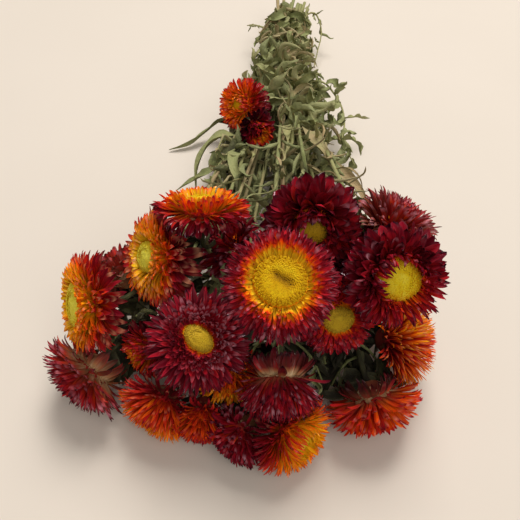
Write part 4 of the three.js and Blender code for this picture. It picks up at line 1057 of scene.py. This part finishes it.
def shoot(skin, line, tone, half, length, rng):
    """A thin side shoot with a small curled leaf at each point of its line."""
    radii = np.linspace(0.9, 0.45, len(line))
    bark = min(0.6, tone + 0.15)
    along = np.linspace(0, 2, len(line))[:, None]
    tube(skin, line, radii, sides=6, tone=bark, dice=rng.random(), along=along)
    for k in range(1, len(line) - 1):
        forward = unit(line[k + 1] - line[k])
        away = rng.uniform(0, 6.3)
        outward = np.array([math.cos(away), 0.2, math.sin(away)])
        outward = unit(outward - forward * np.dot(outward, forward))
        for _ in range(4):
            points = leaf_line(line[k], forward, outward, length * rng.uniform(0.6, 1.2), 0.7, rng)
            if not inside_a_bloom(points[2:]):
                break
        points[:, 2] = np.maximum(points[:, 2], LEAF_LOWEST)
        leaf(skin, points, outward, half * rng.uniform(0.7, 1.1), (0, rng.normal(0, 1.4)), (0.6, 2.0), 0.4,
             rng.uniform(0, 6.3), float(np.clip(rng.normal(tone, 0.08), 0, 0.9)), rng.random())


BAND_PITCH = 2.3
BAND_HALF_THICK = 0.6
BAND_HALF_WIDE = np.array([0, 1.15, 0])


def band():
    """The elastic band: three turns side by side, each a little wavy."""
    skin = Skin()
    turns, steps = 3, 96
    angle = np.arange(steps + 1) / steps * 2 * math.pi
    corner = np.arange(8) / 8 * 2 * math.pi
    for n in range(turns):
        wander = 0.5 * np.sin(angle + n * 2.1)
        y = TIE[1] + (n - 1) * BAND_PITCH + wander * (1 - abs(n - 1) * 0.4)
        rings = []
        for a, level in zip(angle[:-1], y[:-1]):
            ray = np.array([math.cos(a), 0, math.sin(a)])
            middle = np.array([TIE[0], level, TIE_Z]) + ray * (TIE_INNER + 0.66)
            rings.append(middle + spokes(corner, ray * BAND_HALF_THICK, BAND_HALF_WIDE))
        rings.append(rings[0])
        skin.add(np.array(rings)[None], tone=0.5, dice=n / turns, along=(angle * 3)[None, :, None])
    return skin.piece("elastic_band", MATERIALS["tie"], sharp=60)


# ---- Materials ------------------------------------------------------------------------------
class Nodes:
    """Short forms for building a material's node tree."""

    def __init__(self, name):
        self.material = bpy.data.materials.new(name)
        self.material.use_nodes = True
        self.tree = self.material.node_tree
        self.shader = self.tree.nodes["Principled BSDF"]

    def node(self, kind, **settings):
        made = self.tree.nodes.new(kind)
        for key, value in settings.items():
            setattr(made, key, value)
        return made

    def feed(self, sockets, values):
        """Sets sockets to numbers and colours, and wires other nodes' outputs to them."""
        for socket, value in zip(sockets, values):
            if isinstance(value, (int, float)):
                socket.default_value = value
            elif isinstance(value, tuple):
                socket.default_value = (*value, 1)
            else:
                self.tree.links.new(value, socket)

    def surface(self, bumps=None, **looks):
        """Feeds the shader's inputs. bumps: their pattern, how strong they are and how high."""
        if bumps:
            made = self.node("ShaderNodeBump")
            self.feed([made.inputs[name] for name in ("Height", "Strength", "Distance")], bumps)
            looks["Normal"] = made.outputs["Normal"]
        for name, value in looks.items():
            self.feed([self.shader.inputs[name.replace("_", " ")]], [value])
        return self.material

    def mark(self, name):
        return self.node("ShaderNodeAttribute", attribute_name=name).outputs["Fac"]

    def place(self):
        return self.node("ShaderNodeTexCoord").outputs["Object"]

    def math(self, operation, *values):
        made = self.node("ShaderNodeMath", operation=operation)
        self.feed(made.inputs, values)
        return made.outputs[0]

    def times(self, a, b):
        return self.math("MULTIPLY", a, b)

    def line(self, value, slope, start):
        return self.math("MULTIPLY_ADD", value, slope, start)

    def stray(self, value, noise, amount):
        """value, made higher or lower by a noise whose middle is 0.5."""
        return self.line(self.math("SUBTRACT", noise, 0.5), amount, value)

    def vector(self, *values):
        made = self.node("ShaderNodeCombineXYZ")
        self.feed(made.inputs, values)
        return made.outputs[0]

    def noise(self, vector, scale, detail=3.0):
        made = self.node("ShaderNodeTexNoise")
        self.feed([made.inputs[name] for name in ("Vector", "Scale", "Detail")], [vector, scale, detail])
        return made.outputs["Fac"]

    def ramp(self, value, stops):
        made = self.node("ShaderNodeValToRGB")
        elements = made.color_ramp.elements
        while len(elements) < len(stops):
            elements.new(0.5)
        for element, (place, colour) in zip(elements, stops):
            element.position = place
            element.color = (*colour, 1)
        self.feed([made.inputs["Fac"]], [value])
        return made.outputs["Color"]

    def mix(self, factor, a, b, blend="MIX"):
        made = self.node("ShaderNodeMix", data_type="RGBA", blend_type=blend)
        self.feed([made.inputs[0], made.inputs[6], made.inputs[7]], [factor, a, b])
        return made.outputs[2]


BRACT_TONES = [
    (0.0, (1.0, 0.66, 0.02)), (0.14, (1.0, 0.48, 0.01)), (0.28, (1.0, 0.26, 0.006)),
    (0.4, (0.92, 0.1, 0.006)), (0.5, (0.68, 0.026, 0.014)), (0.6, (0.46, 0.011, 0.022)),
    (0.74, (0.2, 0.005, 0.015)), (1.0, (0.03, 0.001, 0.006)),
]
STRAW_TONES = [(0.0, (0.24, 0.1, 0.04)), (0.5, (0.46, 0.27, 0.11)), (1.0, (0.95, 0.72, 0.42))]
DISC_TONES = [
    (0.0, (0.92, 0.84, 0.1)), (0.2, (0.86, 0.64, 0.01)), (0.4, (0.74, 0.42, 0.003)),
    (0.6, (0.5, 0.26, 0.003)), (0.8, (0.24, 0.1, 0.003)), (1.0, (0.08, 0.03, 0.003)),
]
LEAF_TONES = [
    (0.0, (0.022, 0.02, 0.008)), (0.1, (0.075, 0.078, 0.026)), (0.2, (0.155, 0.17, 0.054)),
    (0.4, (0.28, 0.3, 0.12)), (0.6, (0.38, 0.365, 0.15)), (0.8, (0.4, 0.31, 0.155)),
    (1.0, (0.5, 0.35, 0.18)),
]
ELASTIC_TONES = [(0.3, (0.42, 0.28, 0.14)), (0.7, (0.52, 0.36, 0.2))]
FLOOR_TONES = [(0.3, (0.745, 0.66, 0.56)), (0.7, (0.765, 0.678, 0.578))]


def bract_material(name, seed, faded):
    """Papery bracts: tone along the bract, fine lengthwise streaks, painted shade at the roots, pale
    edges and a painted highlight in the colour faded, and a dull silky gloss.
    """
    n = Nodes(name)
    across, along, dice, dry = n.mark("across"), n.mark("along"), n.mark("dice"), n.mark("dry")
    turn = n.line(dice, 37.0, seed)
    streaks = n.noise(n.vector(n.times(across, 1.5), n.times(along, 0.8), turn), 1.6)
    blotches = n.noise(n.vector(across, n.times(along, 3.0), turn), 1.1, 2.0)
    tone = n.stray(n.stray(n.mark("tone"), streaks, 0.36), blotches, 0.2)
    bright = n.line(dice, 0.5, 0.72)
    colour = n.mix(1.0, n.ramp(tone, BRACT_TONES), n.vector(bright, bright, bright), "MULTIPLY")
    straw = n.ramp(n.line(dry, 0.5, n.math("SUBTRACT", streaks, 0.25)), STRAW_TONES)
    colour = n.mix(dry, colour, straw)
    # Painted shade: the deep mark darkens the bracts towards their roots.
    shaded = n.mix(1.0, colour, (0.22, 0.1, 0.12), "MULTIPLY")
    colour = n.mix(n.mark("deep"), colour, shaded)
    # The pale edges of the thin bracts, and the painted highlight that the sheen mark puts near their tips.
    pale_edge_and_painted_highlight = n.times(n.math("POWER", n.math("ABSOLUTE", across), 2.0), 0.03)
    pale_edge_and_painted_highlight = n.math("ADD", pale_edge_and_painted_highlight, n.times(n.mark("sheen"), n.times(streaks, 1.3)))
    gloss = n.times(n.math("MAXIMUM", n.math("SUBTRACT", streaks, 0.53), 0.0), 8.0)
    return n.surface(
        (streaks, 0.35, 0.0003),
        Base_Color=n.mix(pale_edge_and_painted_highlight, colour, faded),
        Roughness=n.line(streaks, -0.5, 0.5),
        Specular_IOR_Level=n.times(gloss, n.line(dry, -0.8, 1.0)),
        Specular_Tint=(1.0, 0.78, 0.84),
    )


def disc_material():
    """Florets: tone by their age, patchy, and dull olive where the disc has dried greener."""
    n = Nodes("disc_florets")
    place = n.place()
    grain = n.noise(place, 1400.0, 2.0)
    patches = n.noise(place, 320.0, 2.0)
    tone = n.stray(n.stray(n.mark("tone"), patches, 0.22), grain, 0.16)
    colour = n.mix(n.mark("dry"), n.ramp(tone, DISC_TONES), (0.36, 0.29, 0.04))
    rough = n.line(grain, 0.2, 0.6)
    return n.surface((grain, 0.25, 0.0003), Base_Color=colour, Roughness=rough, Specular_IOR_Level=0.15)


def leaf_material():
    """Dried leaves and stems: woolly sage to buff, paler below and at the edges, and near-black
    where their tone is lowest, painted shade.
    """
    n = Nodes("dried_leaf")
    across, along, mark = n.mark("across"), n.mark("along"), n.mark("tone")
    turn = n.times(n.mark("dice"), 41.0)
    veins = n.noise(n.vector(n.times(across, 2.2), n.times(along, 5.0), turn), 2.0)
    place = n.place()
    patches = n.noise(place, 90.0)
    wool = n.noise(place, 2200.0, 2.0)
    wrinkles = n.noise(place, 420.0, 2.0)
    tone = n.stray(n.stray(mark, patches, 0.5), veins, 0.25)
    edge = n.times(n.math("POWER", n.math("ABSOLUTE", across), 3.0), 0.3)
    colour = n.mix(edge, n.ramp(tone, LEAF_TONES), (0.4, 0.38, 0.19))
    colour = n.mix(n.times(n.mark("dry"), 0.35), colour, (0.36, 0.36, 0.19))
    # Tones under 0.16 turn towards near-black: painted shade for the leaves, shoots and stems low among the
    # blooms.
    painted_shade_black = n.times(n.math("SUBTRACT", 0.16, mark), 6.0)
    colour = n.mix(n.math("MINIMUM", n.math("MAXIMUM", painted_shade_black, 0.0), 0.9), colour, (0.014, 0.01, 0.006))
    rough = n.line(wool, 0.2, 0.62)
    height = n.line(wrinkles, 1.2, n.line(veins, 0.7, n.times(wool, 0.3)))
    return n.surface((height, 0.8, 0.0008), Base_Color=colour, Roughness=rough, Specular_IOR_Level=0.2)


def band_material():
    """Plain tan rubber."""
    n = Nodes("elastic")
    grain = n.noise(n.place(), 900.0)
    colour = n.ramp(grain, ELASTIC_TONES)
    return n.surface((grain, 0.3, 0.0002), Base_Color=colour, Roughness=n.line(grain, 0.2, 0.5))


def floor_material():
    """The pale, flat surface, hardly mottled."""
    n = Nodes("pale_floor")
    place = n.place()
    colour = n.ramp(n.noise(place, 6.0), FLOOR_TONES)
    rough = n.line(n.noise(place, 400.0), 0.1, 0.7)
    return n.surface(Base_Color=colour, Roughness=rough)


MATERIALS = {
    "bracts_crimson": bract_material("papery_crimson", 0, (0.85, 0.4, 0.47)),
    "bracts_russet": bract_material("papery_russet", 5, (0.9, 0.42, 0.3)),
    "bracts_orange": bract_material("papery_orange", 9, (0.95, 0.46, 0.24)),
    "disc": disc_material(),
    "stem_leaf": leaf_material(),
    "tie": band_material(),
}

# ---- Pieces ---------------------------------------------------------------------------------
BLOOM_SEEDS = 700
STEM_SEEDS = 900
for number, (name, bloom) in enumerate(BLOOMS.items()):
    rng = np.random.default_rng(BLOOM_SEEDS + number)
    slot = next((slot for slot, names in SLOTS.items() if name in names), CRIMSON)
    skin = Skin()
    receptacle(skin, name, bloom)
    scales(skin, bloom, rng)
    bracts(skin, name, bloom, rng)
    piece = skin.piece("bloom_" + name, MATERIALS[slot])
    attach(piece, BODY)
    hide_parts(name + "_bracts")
    if bloom["disc"]:
        piece = disc(name, bloom, rng)
        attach(piece, BODY)
        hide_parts(name + "_disc")
    piece = leafy_stem(name, number, np.random.default_rng(STEM_SEEDS + number))
    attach(piece, BODY)
    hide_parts(name + "_stem")

piece = band()
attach(piece, BODY)
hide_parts("tie")

# ---- Floor, light and camera ----------------------------------------------------------------
bpy.ops.mesh.primitive_plane_add(size=6, location=(0, 0, 0))
floor = bpy.context.object
floor.name = "floor"
floor.data.materials.append(floor_material())

LIGHT_COLOUR = (1.0, 0.98, 0.96)
world = bpy.data.worlds.new("studio")
bpy.context.scene.world = world
world.use_nodes = True
background = world.node_tree.nodes["Background"]
background.inputs["Color"].default_value = (*LIGHT_COLOUR, 1)
background.inputs["Strength"].default_value = 0.25


def soft_light(name, place, target, size, power):
    light = bpy.data.lights.new(name, "AREA")
    light.shape = "SQUARE"
    light.size = size
    light.energy = power
    light.color = LIGHT_COLOUR
    lamp = bpy.data.objects.new(name, light)
    lamp.location = place
    aim = Vector(target) - Vector(place)
    lamp.rotation_euler = aim.to_track_quat("-Z", "Y").to_euler()
    bpy.context.collection.objects.link(lamp)


soft_light("window", (0.35, 1.15, 2.35), (0, -0.1, 0.03), 1.3, 58)
soft_light("room", (0.7, -1.5, 2.2), (0, -0.1, 0.03), 1.8, 22)

CAMERA_PLACE = (-8.6, -160.9, 305.8)
CAMERA_PITCH = 50
FOCAL_PIXELS, FRAME_PIXELS, SENSOR = 612, 520, 36
camera_data = bpy.data.cameras.new("camera")
camera_data.sensor_width = SENSOR
camera_data.lens = SENSOR * FOCAL_PIXELS / FRAME_PIXELS
camera_data.clip_start = 0.01
camera = bpy.data.objects.new("camera", camera_data)
camera.location = (np.array(CAMERA_PLACE) + SHIFT) * MM
camera.rotation_euler = (math.radians(90 - CAMERA_PITCH), 0, 0)
bpy.context.collection.objects.link(camera)
bpy.context.scene.camera = camera
bpy.context.scene.view_settings.view_transform = "Standard"
